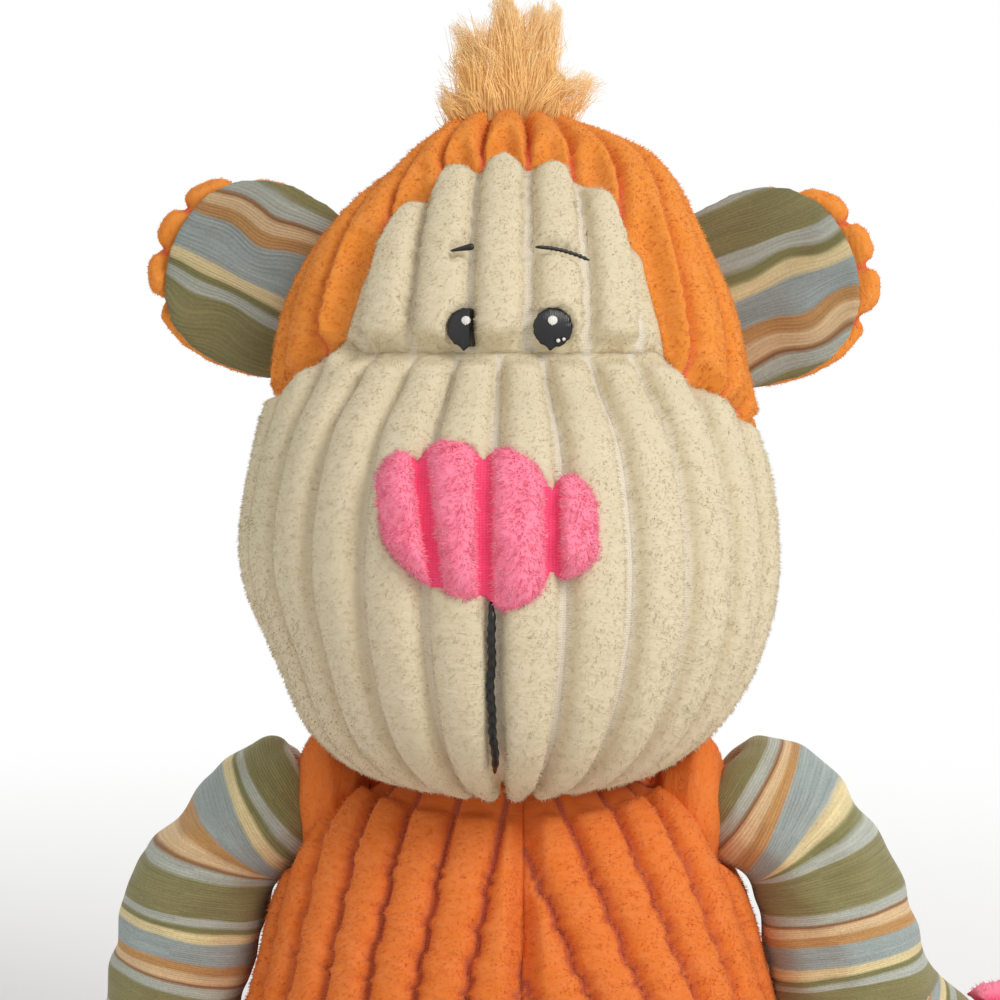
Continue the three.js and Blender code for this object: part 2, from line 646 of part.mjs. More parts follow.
function addLimb(group, coverName, fillName, points, radii, cloth, look) {
  const start = points[1].clone().sub(points[0]).normalize();
  const opening = ball(points[0].clone().addScaledVector(start, -radii[0]), radii[0] * 0.6, 8);
  const cover = limbForm(points, radii, 0, 12, 7)
    .subtract(limbForm(points, radii, -cloth, 8, 7))
    .subtract(opening);
  const fill = limbForm(points, radii, -cloth - SEAM_GAP, 8, 7).subtract(opening);
  addPiece(group, coverName, largest(cover), look);
  addPiece(group, fillName, largest(fill), FIBREFILL);
}

// A padded end of a limb, hollowed for the limb's round end
function addPad(group, coverName, fillName, form, room) {
  const cover = uprightForm(form, 0, 14, 2)
    .subtract(uprightForm(form, -PLUSH, 8, 1))
    .subtract(room);
  const fill = uprightForm(form, -PLUSH - SEAM_GAP, 8, 1).subtract(room);
  addPiece(group, coverName, largest(cover), PINK_PLUSH);
  addPiece(group, fillName, largest(fill), FIBREFILL);
}

// Arms: the right one hangs, the left one turns its forearm and hand outwards

const handBase = new THREE.Vector3(0, 0, -HAND_LENGTH);
const handForm = makeForm(HAND_PROFILE, HAND_LENGTH + 6, HAND_WIDTH, HAND_DEPTH, handBase);
const wristRoom = ball(origin, ARM_RADII.at(-1) + TURN_GAP + SEAM_GAP, 16);

// The arm's middle line beside the body, from the shoulder at the origin
function besideBody(drop) {
  const level = SHOULDER_LEVEL - drop;
  const clear = rowAtHeight(bodyForm, level).side + Math.max(...ARM_RADII) + ARM_CLEAR;
  return new THREE.Vector3(clear - shoulderOf(1).x, 0, -drop);
}

function armRoute(name) {
  const elbow = besideBody(ELBOW_DROP);
  const upper = elbow.clone().multiply(new THREE.Vector3(0.66, 1, 0.26));
  if (name === "right") return [origin, upper, elbow, besideBody(WRIST_DROP)];
  const wrist = besideBody(OUT_WRIST_DROP);
  wrist.x += OUT_WRIST_REACH;
  wrist.y += 5;
  const bend = besideBody(OUT_WRIST_DROP - 8);
  return [origin, upper, elbow, bend, wrist];
}

const handWays = {
  left: { point: new THREE.Vector3(0.97, 0.12, -0.05), width: new THREE.Vector3(0, 0, 1) },
  right: { point: new THREE.Vector3(-0.05, -0.12, -1), width: new THREE.Vector3(0, 1, 0) },
};
for (const { name, sign } of sides) {
  const shoulder = addGroup(monkey, shoulderOf(sign));
  const fold = ballRing(ARM_RADII[0] + TURN_GAP, SEAM_FOLD, Math.PI / 9, Math.PI / 4.4, 16)
    .rotateY((-sign * Math.PI) / 2);
  addPiece(shoulder, `${name}_shoulder_seam`, solid(fold), SEAM_CLOTH);

  const arm = addGroup(shoulder, origin);
  const route = armRoute(name).map((point) => point.clone().multiply(new THREE.Vector3(sign, 1, 1)));
  addLimb(arm, `${name}_sleeve`, `${name}_arm_stuffing`, route, ARM_RADII, KNIT, STRIPED_KNIT);

  const hand = addGroup(arm, route.at(-1));
  const { point, width } = handWays[name];
  const up = point.clone().normalize().negate();
  const across = width.clone().addScaledVector(up, -width.dot(up)).normalize();
  hand.quaternion.setFromRotationMatrix(new THREE.Matrix4().makeBasis(across, up.clone().cross(across), up));
  addPad(hand, `${name}_hand`, `${name}_hand_stuffing`, handForm, wristRoom);
}

// Legs: stretched out in front on the floor, feet up

const footBase = new THREE.Vector3(0, -FOOT_FORWARD, FLOOR_GAP - hipLevel);
const footForm = makeForm(FOOT_PROFILE, FOOT_HEIGHT, FOOT_WIDTH, FOOT_DEPTH, footBase);
const ankleRoom = ball(origin, LEG_RADII.at(-1) + TURN_GAP + SEAM_GAP, 16);
for (const { name, sign } of sides) {
  const leg = addGroup(monkey, hipOf(sign));
  const turn = sign * LEG_SPLAY;
  const way = new THREE.Vector3(Math.sin(turn), -Math.cos(turn), 0);
  const route = [0, 0.35, 0.7, 1].map((share) => way.clone().multiplyScalar(share * LEG_LENGTH));
  addLimb(leg, `${name}_leg`, `${name}_leg_stuffing`, route, LEG_RADII, KNIT, STRIPED_KNIT);
  const foot = addGroup(leg, route.at(-1));
  foot.rotation.z = turn;
  addPad(foot, `${name}_foot`, `${name}_foot_stuffing`, footForm, ankleRoom);
}

// Tail: down to the floor, back, and curled to the toy's left

const tail = addGroup(monkey, tailRoot);
const tailRest = TAIL_RADII.at(-1) + 1.5 + FLOOR_GAP - TAIL_LEVEL;
const tailRoute = [
  origin,
  new THREE.Vector3(0, TAIL_LENGTH * 0.26, tailRest * 0.5),
  new THREE.Vector3(TAIL_CURL * 0.1, TAIL_LENGTH * 0.6, tailRest),
  new THREE.Vector3(TAIL_CURL * 0.42, TAIL_LENGTH * 0.9, tailRest),
  new THREE.Vector3(TAIL_CURL, TAIL_LENGTH, tailRest),
];
addLimb(tail, "tail_cover", "tail_stuffing", tailRoute, TAIL_RADII, PLUSH * 0.8, ORANGE_PLUSH);

export default monkey;
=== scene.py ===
"""A seated plush monkey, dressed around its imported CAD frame. Metres, +Z up, facing -Y.

Every cover starts from the CAD solids. They are copied, remeshed and blown up as stuffed cloth, a fine ball is laid
on that form, and then the ribs, the seams and the pile of the wide corduroy are raised on it.
"""

import json
import math

import bpy
import numpy as np
from mathutils import Matrix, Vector
from mathutils.bvhtree import BVHTree


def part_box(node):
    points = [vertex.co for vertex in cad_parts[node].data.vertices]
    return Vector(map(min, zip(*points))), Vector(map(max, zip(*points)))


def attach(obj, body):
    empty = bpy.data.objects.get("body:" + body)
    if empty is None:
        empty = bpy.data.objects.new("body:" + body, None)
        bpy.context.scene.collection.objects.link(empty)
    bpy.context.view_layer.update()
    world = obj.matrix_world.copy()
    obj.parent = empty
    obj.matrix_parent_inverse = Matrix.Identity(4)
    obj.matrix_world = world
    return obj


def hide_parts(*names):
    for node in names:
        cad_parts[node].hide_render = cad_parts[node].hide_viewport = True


bl_info = {
    "name": "Plush monkey",
    "version": (1, 0, 0),
    "blender": (4, 5, 0),
    "location": "View3D > Sidebar > Monkey",
    "description": "Dresses the CAD frame of a seated plush monkey in corduroy, striped jersey and thread",
    "category": "Add Mesh",
}

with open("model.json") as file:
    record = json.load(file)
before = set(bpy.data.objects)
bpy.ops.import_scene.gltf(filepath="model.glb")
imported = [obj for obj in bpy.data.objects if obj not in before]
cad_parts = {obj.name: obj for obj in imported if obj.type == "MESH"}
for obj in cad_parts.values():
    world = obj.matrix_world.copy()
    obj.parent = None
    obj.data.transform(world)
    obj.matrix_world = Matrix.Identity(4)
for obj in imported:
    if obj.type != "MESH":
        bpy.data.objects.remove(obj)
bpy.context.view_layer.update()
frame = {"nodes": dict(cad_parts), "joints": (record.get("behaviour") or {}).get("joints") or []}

MM = 0.001
SIDES = (("left", 1), ("right", -1))

# Stripes of the jersey: width in millimetres and colour, from the shoulder down the left arm
STRIPES = (
    (9.8, "#8A8358"),  # olive
    (3.0, "#B2B5A8"),  # light grey
    (1.0, "#93663F"),  # brown
    (2.9, "#DBBB90"),  # peach
    (2.9, "#BE8F5A"),  # caramel
    (6.4, "#9DA6A2"),  # blue grey
    (2.8, "#E0CD9C"),  # cream
    (1.8, "#848052"),  # thin olive
    (2.8, "#B2B5A8"),  # light grey
)

# Middle lines of the bent limbs, in millimetres, as the CAD solids have them
LEFT_ARM = ((52.9, 0, 98), (66.1, 0, 88.9), (72.9, 0, 63), (76.6, 0, 51), (91.7, 5, 43))
RIGHT_ARM = ((-52.9, 0, 98), (-66.1, 0, 88.9), (-72.9, 0, 63), (-79.8, 0, 38))
TAIL = ((0, 50.1, 24), (0, 68.3, 16.3), (3.4, 92.1, 8.5), (14.3, 113.1, 8.5), (34, 120.1, 8.5))

HEAD_COVERS = ("hood_front", "hood_back", "face_panel", "muzzle_panel")
BODY_COVERS = ("body_front_left", "body_front_right", "body_back_left", "body_back_right", "seat_panel")
THIRDS = (0, 2.094, 4.189)  # the three corners round a spike or a strand


def linear(hex_colour):
    """An sRGB hex colour as the linear values that Blender's sockets take."""
    shares = [int(hex_colour[i:i + 2], 16) / 255 for i in (1, 3, 5)]
    return tuple(s / 12.92 if s <= 0.04045 else ((s + 0.055) / 1.055) ** 2.4 for s in shares)


# What a user would change


class PlushSettings(bpy.types.PropertyGroup):
    """Sizes and colours of the corduroy, the hair and the thread"""

    rib_pitch: bpy.props.FloatProperty(
        name="Rib pitch", description="Distance from rib to rib", default=13 * MM, unit="LENGTH")
    groove: bpy.props.FloatProperty(
        name="Groove", description="Width of the bare ground between two ribs", default=2.5 * MM, unit="LENGTH")
    closed_groove: bpy.props.FloatProperty(
        name="Closed groove", description="The same where the ribs lean together", default=1.5 * MM, unit="LENGTH")
    rib_rise: bpy.props.FloatProperty(
        name="Rib rise", description="Height of a rib under its pile", default=2.9 * MM, unit="LENGTH")
    pile_length: bpy.props.FloatProperty(
        name="Pile length", description="Length of a tuft of pile", default=0.85 * MM, unit="LENGTH")
    pile_density: bpy.props.FloatProperty(
        name="Pile density", description="Tufts on a square millimetre of rib", default=2.8, min=0.1)
    orange: bpy.props.FloatVectorProperty(
        name="Orange", description="Pile of hood and ears", subtype="COLOR", default=linear("#F39840"))
    orange_ground: bpy.props.FloatVectorProperty(
        name="Orange ground", description="Ground between orange ribs", subtype="COLOR", default=linear("#EC6424"))
    # painted shade: the hood's orange cloth, made darker and redder for the body, tail, neck and shoulders
    rust: bpy.props.FloatVectorProperty(
        name="Shaded_orange", description="Pile of body and tail", subtype="COLOR", default=linear("#F2853A"))
    rust_ground: bpy.props.FloatVectorProperty(
        name="Rust ground", description="Ground between rust ribs", subtype="COLOR", default=linear("#CC5A22"))
    cream: bpy.props.FloatVectorProperty(
        name="Cream", description="Pile of the face", subtype="COLOR", default=linear("#E6D8B8"))
    cream_ground: bpy.props.FloatVectorProperty(
        name="Cream ground", description="Ground between cream ribs", subtype="COLOR", default=linear("#F2E8D4"))
    pink: bpy.props.FloatVectorProperty(
        name="Pink", description="Pile of nose, hands and feet", subtype="COLOR", default=linear("#FF93AC"))
    pink_ground: bpy.props.FloatVectorProperty(
        name="Pink ground", description="Ground between pink ribs", subtype="COLOR", default=linear("#FF3E7A"))
    fur: bpy.props.FloatVectorProperty(
        name="Fur", description="Hair on the crown", subtype="COLOR", default=linear("#FFD591"))
    black: bpy.props.FloatVectorProperty(
        name="Black thread", description="Eyes, brows and mouth", subtype="COLOR", default=linear("#0E0C0D"))
    white: bpy.props.FloatVectorProperty(
        name="White thread", description="Glints in the eyes", subtype="COLOR", default=linear("#F6F4EE"))


class StageSettings(bpy.types.PropertyGroup):
    """Camera and floor"""

    turn: bpy.props.FloatProperty(
        name="Turn", description="Camera's way round to the toy's left", default=math.radians(3), subtype="ANGLE")
    rise: bpy.props.FloatProperty(
        name="Rise", description="Camera's height above the horizon", default=math.radians(2.5), subtype="ANGLE")
    lens: bpy.props.FloatProperty(
        name="Lens", description="Focal length in millimetres", default=85.0, unit="CAMERA")
    width: bpy.props.FloatProperty(
        name="Frame width", description="What the frame spans at the head", default=215 * MM, unit="LENGTH")
    middle: bpy.props.FloatVectorProperty(
        name="Middle", description="Point in the middle of the frame", subtype="XYZ", unit="LENGTH",
        default=(-2.0 * MM, -7 * MM, 164.2 * MM))
    floor: bpy.props.FloatVectorProperty(
        name="Floor", description="Colour of the floor", subtype="COLOR", default=linear("#F4F4F2"))


# Meshes


def pick(*objects):
    """Selects these objects alone, the first one active."""
    bpy.ops.object.select_all(action="DESELECT")
    for obj in objects:
        obj.select_set(True)
    bpy.context.view_layer.objects.active = objects[0]


def apply_modifier(obj, kind, **settings):
    pick(obj)
    modifier = obj.modifiers.new(kind.title(), kind)
    for key, value in settings.items():
        setattr(modifier, key, value)
    bpy.ops.object.modifier_apply(modifier=modifier.name)


def read(items, name, width, kind=np.float32):
    values = np.empty(len(items) * width, kind)
    items.foreach_get(name, values)
    return values.reshape(-1, width) if width > 1 else values


def points_of(mesh):
    return read(mesh.vertices, "co", 3).astype(float)


def normals_of(mesh):
    return read(mesh.vertex_normals, "vector", 3).astype(float)


def set_points(mesh, points):
    mesh.vertices.foreach_set("co", points.astype(np.float32).ravel())
    mesh.update()


def store(mesh, name, values):
    """Keeps a number or a vector for each vertex, for the pile and the material."""
    vector = values.ndim > 1
    attribute = mesh.attributes.new(name, "FLOAT_VECTOR" if vector else "FLOAT", "POINT")
    attribute.data.foreach_set("vector" if vector else "value", values.astype(np.float32).ravel())


def stored(mesh, name):
    data = mesh.attributes[name].data
    if mesh.attributes[name].data_type == "FLOAT_VECTOR":
        return read(data, "vector", 3).astype(float)
    return read(data, "value", 1).astype(float)


def mesh_object(name, points, faces, slots=None):
    """A new object from arrays of points and of equal faces."""
    mesh = bpy.data.meshes.new(name)
    corners = faces.shape[1]
    mesh.vertices.add(len(points))
    mesh.vertices.foreach_set("co", points.astype(np.float32).ravel())
    mesh.loops.add(faces.size)
    mesh.loops.foreach_set("vertex_index", faces.astype(np.int32).ravel())
    mesh.polygons.add(len(faces))
    mesh.polygons.foreach_set("loop_start", np.arange(0, faces.size, corners, dtype=np.int32))
    if slots is not None:
        mesh.polygons.foreach_set("material_index", slots.astype(np.int32))
    mesh.polygons.foreach_set("use_smooth", np.ones(len(faces), bool))
    mesh.update(calc_edges=True)
    obj = bpy.data.objects.new(name, mesh)
    bpy.context.scene.collection.objects.link(obj)
    return obj


def unit(vectors):
    return vectors / np.maximum(np.linalg.norm(vectors, axis=-1, keepdims=True), 1e-12)


def ramp(values, low, high):
    """0 below low, 1 above high, and a smooth rise between."""
    t = np.clip((values - low) / (high - low), 0, 1)
    return t * t * (3 - 2 * t)


def drift(points, size, seed, waves=12):
    """A smooth random vector at each point, about 1 long, that changes over the given size."""
    random = np.random.default_rng(seed)
    ways = unit(random.normal(size=(waves, 3))) * random.uniform(0.6, 1.5, (waves, 1)) * 2 * np.pi / size
    turns = np.sin(points @ ways.T + random.uniform(0, 2 * np.pi, waves))
    return turns @ random.normal(size=(waves, 3)) * math.sqrt(2 / waves)


def shifted(points, moves):
    """Points moved softly round places in x and z, each with its radius and its move, all in millimetres."""
    for place, radius, move in moves:
        away = np.hypot(*(points[:, (0, 2)] - np.array(place) * MM).T)
        points = points + np.exp(-(away / (radius * MM)) ** 2)[:, None] * np.array(move) * MM
    return points


def tree_of(*objects):
    places, faces = [], []
    for obj in objects:
        first = len(places)
        places += points_of(obj.data).tolist()
        faces += [[first + i for i in face.vertices] for face in obj.data.polygons]
    return BVHTree.FromPolygons(places, faces)


def nodes_tree(*names):
    return tree_of(*(frame["nodes"][name] for name in names))


def reach(tree, points):
    """How far each point is from the tree's nearest face."""
    return np.array([tree.find_nearest(point)[3] for point in points.tolist()])


def cast(tree, origins, ways, far=0.3):
    """Where rays from far outside, against their ways, first meet the tree."""
    hits = []
    for origin, way in zip(origins, ways):
        start = origin + way * far
        hit = tree.ray_cast(start.tolist(), (-way).tolist(), far)[0]
        hits.append(hit or tree.find_nearest((origin + way * 0.02).tolist())[0])
    return np.array(hits)


def middle_of(*names):
    corners = np.array([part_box(name) for name in names])
    return (corners[:, 0].min(0) + corners[:, 1].max(0)) / 2


def joint_of(name):
    return next(joint for joint in frame["joints"] if joint["name"] == name)


# Stuffed forms


def joined_copy(names):
    """One merged mesh from copies of CAD nodes."""
    copies = []
    for name in names:
        copy = bpy.data.objects.new("form", frame["nodes"][name].data.copy())
        bpy.context.scene.collection.objects.link(copy)
        copies.append(copy)
    pick(*copies)
    if len(copies) > 1:
        bpy.ops.object.join()
    bpy.ops.object.mode_set(mode="EDIT")
    bpy.ops.mesh.select_all(action="SELECT")
    bpy.ops.mesh.remove_doubles(threshold=0.01 * MM)
    bpy.ops.object.mode_set(mode="OBJECT")
    return bpy.context.view_layer.objects.active


def blow_up(form, held, most):
    """Lets the stuffing press on the cloth between its held points. No other point moves further than most."""
    scene = bpy.context.scene
    before = points_of(form.data)
    group = form.vertex_groups.new(name="held")
    group.add(np.flatnonzero(held).tolist(), 1.0, "REPLACE")
    pick(form)
    cloth = form.modifiers.new("Stuffing", "CLOTH")
    cloth.settings.vertex_group_mass = group.name
    cloth.settings.use_pressure = True
    cloth.settings.uniform_pressure_force = 4
    cloth.settings.effector_weights.gravity = 0
    for step in range(1, 21):
        scene.frame_set(step)
    bpy.ops.object.modifier_apply(modifier=cloth.name)
    scene.frame_set(1)
    move = points_of(form.data) - before
    length = np.linalg.norm(move, axis=1, keepdims=True)
    set_points(form.data, before + move * np.minimum(1, most / np.maximum(length, 1e-9)))


def stuffed_form(covers, fills, voxel=4.0 * MM, puff=2.0 * MM, seam=4.0 * MM, clear_of=None):
    """The closed form of a stuffed piece: tight at its seams and near what it turns against, full between."""
    form = joined_copy([*covers, *fills])
    apply_modifier(form, "REMESH", mode="VOXEL", voxel_size=voxel)
    apply_modifier(form, "SMOOTH", factor=0.5, iterations=5)
    points = points_of(form.data)
    held = np.zeros(len(points), bool)
    if len(covers) > 1:
        away = np.sort([reach(nodes_tree(name), points) for name in covers], axis=0)
        held |= away[1] < seam
    if clear_of:
        held |= reach(clear_of, points) < seam
    blow_up(form, held, puff)
    apply_modifier(form, "SUBSURF", levels=2, render_levels=2)
    return form


def form_tree(form):
    tree = tree_of(form)
    bpy.data.objects.remove(form)
    return tree


def start_ball(columns, rows):
    """A ball to lay on a form, with the latitude and longitude of each of its points."""
    bpy.ops.object.select_all(action="DESELECT")
    bpy.ops.mesh.primitive_uv_sphere_add(segments=columns, ring_count=rows, radius=1)
    ball = bpy.context.active_object
    places = points_of(ball.data)
    # the faces come in another order each time, and the pile is drawn over them in order
    faces = [list(face.vertices) for face in ball.data.polygons]
    faces = sorted(face[face.index(min(face)):] + face[:face.index(min(face))] for face in faces)
    ball.data.clear_geometry()
    ball.data.from_pydata(places.tolist(), [], faces)
    bpy.ops.object.shade_smooth()
    latitude = np.arcsin(np.clip(places[:, 2], -1, 1))
    longitude = np.arctan2(places[:, 0], -places[:, 1])
    return ball, latitude, longitude


def ball_ways(latitude, longitude, pole=(0, 0, 1), front=(0, -1, 0)):
    """Directions out of the ball, and along its circles of latitude."""
    pole = unit(np.array(pole, float))
    front = np.array(front, float)
    front = unit(front - pole * (front @ pole))
    side = np.cross(pole, front)
    level = np.cos(longitude)[:, None] * front + np.sin(longitude)[:, None] * side
    out = np.cos(latitude)[:, None] * level + np.sin(latitude)[:, None] * pole
    round_it = np.cos(longitude)[:, None] * side - np.sin(longitude)[:, None] * front
    return out, round_it


def limb_line(route, steps=80):
    """Points along a smooth line through the route, in metres."""
    knots = np.array(route, float) * MM
    knots = np.vstack([2 * knots[0] - knots[1], knots, 2 * knots[-1] - knots[-2]])
    line = []
    for i in range(1, len(knots) - 2):
        a, b, c, d = knots[i - 1:i + 3]
        for f in np.arange(steps) / steps:
            line.append(b + 0.5 * f * (c - a + f * (2 * a - 5 * b + 4 * c - d + f * (3 * b - a - 3 * c + d))))
    line.append(knots[-2])
    return np.array(line)


def limb_ways(latitude, longitude, route, root, tip, side):
    """Lays the ball's latitudes along a limb with round ends: origins, ways out, ways round and length."""
    line = limb_line(route)
    steps = np.linalg.norm(np.diff(line, axis=0), axis=1)
    along = np.concatenate([[0], np.cumsum(steps)])
    tangents = unit(np.gradient(line, along, axis=0))
    normals = [unit(np.array(side, float) - tangents[0] * (np.array(side, float) @ tangents[0]))]
    for tangent in tangents[1:]:
        normals.append(unit(normals[-1] - tangent * (normals[-1] @ tangent)))
    normals = np.array(normals)
    others = np.cross(tangents, normals)
    root_cap, tip_cap = root * np.pi / 2, tip * np.pi / 2
    length = (latitude / np.pi + 0.5) * (root_cap + along[-1] + tip_cap)
    spot = np.clip(length - root_cap, 0, along[-1])
    at = lambda rows: np.stack([np.interp(spot, along, rows[:, k]) for k in range(3)], axis=1)
    tilt = np.clip((length - root_cap) / root, -np.pi / 2, 0)
    tilt = tilt + np.clip((length - root_cap - along[-1]) / tip, 0, np.pi / 2)
    n, b, t = unit(at(normals)), unit(at(others)), unit(at(tangents))
    level = np.cos(longitude)[:, None] * n + np.sin(longitude)[:, None] * b
    round_it = np.cos(longitude)[:, None] * b - np.sin(longitude)[:, None] * n
    return at(line), np.cos(tilt)[:, None] * level + np.sin(tilt)[:, None] * t, round_it, length


def lay_map(mesh, u, v, period=None):
    """The cloth's own map in millimetres, closed where u comes round."""
    loops = read(mesh.loops, "vertex_index", 1, np.int32)
    across, up = u[loops], v[loops]
    if period:
        starts = read(mesh.polygons, "loop_start", 1, np.int32)
        totals = read(mesh.polygons, "loop_total", 1, np.int32)
        first = np.repeat(across[starts], totals)
        across = across + period * np.round((first - across) / period)
    layer = mesh.uv_layers.new(name="cloth")
    layer.data.foreach_set("uv", (np.stack([across, up], axis=1) / MM).astype(np.float32).ravel())


# Corduroy


def rib_phase(ribs):
    """From -0.5 to 0.5 across each rib, 0 on its crest, where ribs counts the crests."""
    return ribs - np.round(ribs)


def rib_height(phase, share):
    """A full round rib, 1 high, beside a flat groove that takes the given share of the pitch."""
    return np.sqrt(np.clip(1 - (np.abs(phase) / (0.5 - share / 2)) ** 2.8, 0, 1))


def raise_ribs(cover, ribs, across, settings, sink, rise=1.0, share=None, edge=None, bare=None):
    """Raises the ribs on a laid ball and keeps what the pile and the material need to know."""
    mesh = cover.data
    if share is None:
        share = settings.groove / settings.rib_pitch
    phase = rib_phase(ribs)
    height = rib_height(phase, share)
    keep = np.ones(len(phase)) if bare is None else 1 - bare
    inner = np.ones(len(phase)) if edge is None else ramp(edge, 0, 4.5 * MM)
    lift = settings.rib_rise * rise * height * (0.1 + 0.9 * inner) * (0.35 + 0.65 * keep)
    move = lift - sink - 1.6 * MM * (1 - inner)
    points = points_of(mesh)
    set_points(mesh, points + normals_of(mesh) * move[:, None])
    store(mesh, "rib", ramp(0.5 - share / 2 - np.abs(phase), -0.03, 0.03))
    store(mesh, "phase", phase)
    store(mesh, "across", across)
    store(mesh, "keep", keep)


def even_seams(mesh, panel_of_face, rounds=12):
    """Draws the line of each seam smooth."""
    face_of_loop = np.repeat(np.arange(len(mesh.polygons)), read(mesh.polygons, "loop_total", 1, np.int32))
    edge_of_loop = read(mesh.loops, "edge_index", 1, np.int32)
    low = np.full(len(mesh.edges), 99)
    high = np.full(len(mesh.edges), -1)
    np.minimum.at(low, edge_of_loop, panel_of_face[face_of_loop])
    np.maximum.at(high, edge_of_loop, panel_of_face[face_of_loop])
    ends = read(mesh.edges, "vertices", 2, np.int32)[low != high]
    points = points_of(mesh)
    count = np.bincount(ends.ravel(), minlength=len(points))
    moving = count == 2
    for _ in range(rounds):
        total = np.zeros_like(points)
        np.add.at(total, ends[:, 0], points[ends[:, 1]])
        np.add.at(total, ends[:, 1], points[ends[:, 0]])
        points[moving] = (points[moving] + total[moving] / 2) / 2
    set_points(mesh, points)


def split_panels(cover, panel_of_face, names):
    """Cuts a cover along its seams into one object for each panel."""
    even_seams(cover.data, panel_of_face)
    for name in names:
        cover.data.materials.append(bpy.data.materials.new("panel " + name))
    cover.data.polygons.foreach_set("material_index", panel_of_face.astype(np.int32))
    pick(cover)
    bpy.ops.object.mode_set(mode="EDIT")
    bpy.ops.mesh.select_all(action="SELECT")
    bpy.ops.mesh.separate(type="MATERIAL")
    bpy.ops.object.mode_set(mode="OBJECT")
    panels = {}
    for part in list(bpy.context.selected_objects):
        label = part.data.materials[0]
        panels[label.name.removeprefix("panel ")] = part
        part.data.materials.clear()
    for name in names:
        bpy.data.materials.remove(bpy.data.materials["panel " + name])
    return panels


def add_pile(name, cover, settings, tones, seed, density=1.0, length=1.0, width=1.0, splay=0.9):
    """Tufts of pile rooted in the ribs of a cover. Each is a closed spike of four faces in one of the tones."""
    mesh = cover.data
    random = np.random.default_rng(seed)
    mesh.calc_loop_triangles()
    corners = read(mesh.loop_triangles, "vertices", 3, np.int32)
    points, normals = points_of(mesh), normals_of(mesh)
    rib, phase, across, keep = (stored(mesh, label) for label in ("rib", "phase", "across", "keep"))
    area = read(mesh.loop_triangles, "area", 1).astype(float)
    weight = area * (keep * ramp(rib, 0.5, 1.0))[corners].mean(1)
    count = int(weight.sum() / MM ** 2 * settings.pile_density * density)
    chosen = np.searchsorted(np.cumsum(weight) / weight.sum(), random.random(count))
    shares = random.dirichlet((1, 1, 1), count)
    blend = lambda values: np.einsum("nc,nck->nk", shares, values[corners[chosen]])
    root, normal = blend(points), unit(blend(normals))
    cross = unit(blend(across))
    lean = phase[corners[chosen]]
    lean = lean[np.arange(count), shares.argmax(1)]
    along = np.cross(normal, cross)
    clump = drift(root, 3.2 * MM, seed)
    fine = drift(root, 1.1 * MM, seed + 1)
    way = 0.9 * normal + cross * (splay * lean)[:, None] - along * 0.35 + 0.12 * clump + 0.06 * fine
    way = unit(way + 0.2 * random.normal(size=(count, 3)))
    long = settings.pile_length * length * random.uniform(0.75, 1.15, count) * (1 + 0.16 * clump[:, 0])
    wide = random.uniform(0.085, 0.14, count) * MM * width
    first = unit(np.cross(way, random.normal(size=(count, 3))))
    second = np.cross(way, first)
    root = root - normal * 0.2 * MM
    base = [root + wide[:, None] * (math.cos(a) * first + math.sin(a) * second) for a in THIRDS]
    tip = root + way * long[:, None]
    spikes = np.stack([*base, tip], axis=1).reshape(-1, 3)
    one = np.array([(0, 1, 3), (1, 2, 3), (2, 0, 3), (0, 2, 1)])
    faces = (np.arange(count)[:, None, None] * 4 + one).reshape(-1, 3)
    # each tuft takes the lit, middle or deep tone in random patches: painted light and shade
    tone = np.searchsorted((0.3, 0.75), random.random(count) + 0.2 * clump[:, 1] + 0.14 * fine[:, 2])
    pile = mesh_object(name, spikes, faces, np.repeat(tone, 4))
    for material in tones:
        pile.data.materials.append(material)
    return pile


# Materials


def node(tree, kind, inputs=None, **settings):
    """Adds one shader node with its settings. Each input is a value or another node's output."""
    made = tree.nodes.new(kind)
    for key, value in settings.items():
        setattr(made, key, value)
    for key, value in (inputs or {}).items():
        if isinstance(value, bpy.types.NodeSocket):
            tree.links.new(value, made.inputs[key])
        else:
            made.inputs[key].default_value = value
    return made


def seen_directly(tree):
    """1 for what the camera sees, straight or by a mirror or glass, and 0 for light on its way to a surface."""
    path = node(tree, "ShaderNodeLightPath").outputs
    seen = path["Is Camera Ray"]
    for ray in ("Is Glossy Ray", "Is Transmission Ray"):
        seen = node(tree, "ShaderNodeMath", {0: seen, 1: path[ray]}, operation="MAXIMUM").outputs[0]
    return seen


def new_material(name):
    material = bpy.data.materials.new(name)
    material.use_nodes = True
    return material, material.node_tree, material.node_tree.nodes["Principled BSDF"]


def tinted(colour, by):
    """A colour made deeper and fuller below 1, as dyed fibre looks in shade, or mixed with white above 1, as in
    light;
    as a base colour it paints shade or light.
    """
    if by <= 1:
        return (*((0.4 + 0.6 * by) * c ** (2 - by) for c in colour), 1)
    return (*(c + (1 - c) * (by - 1) for c in colour), 1)


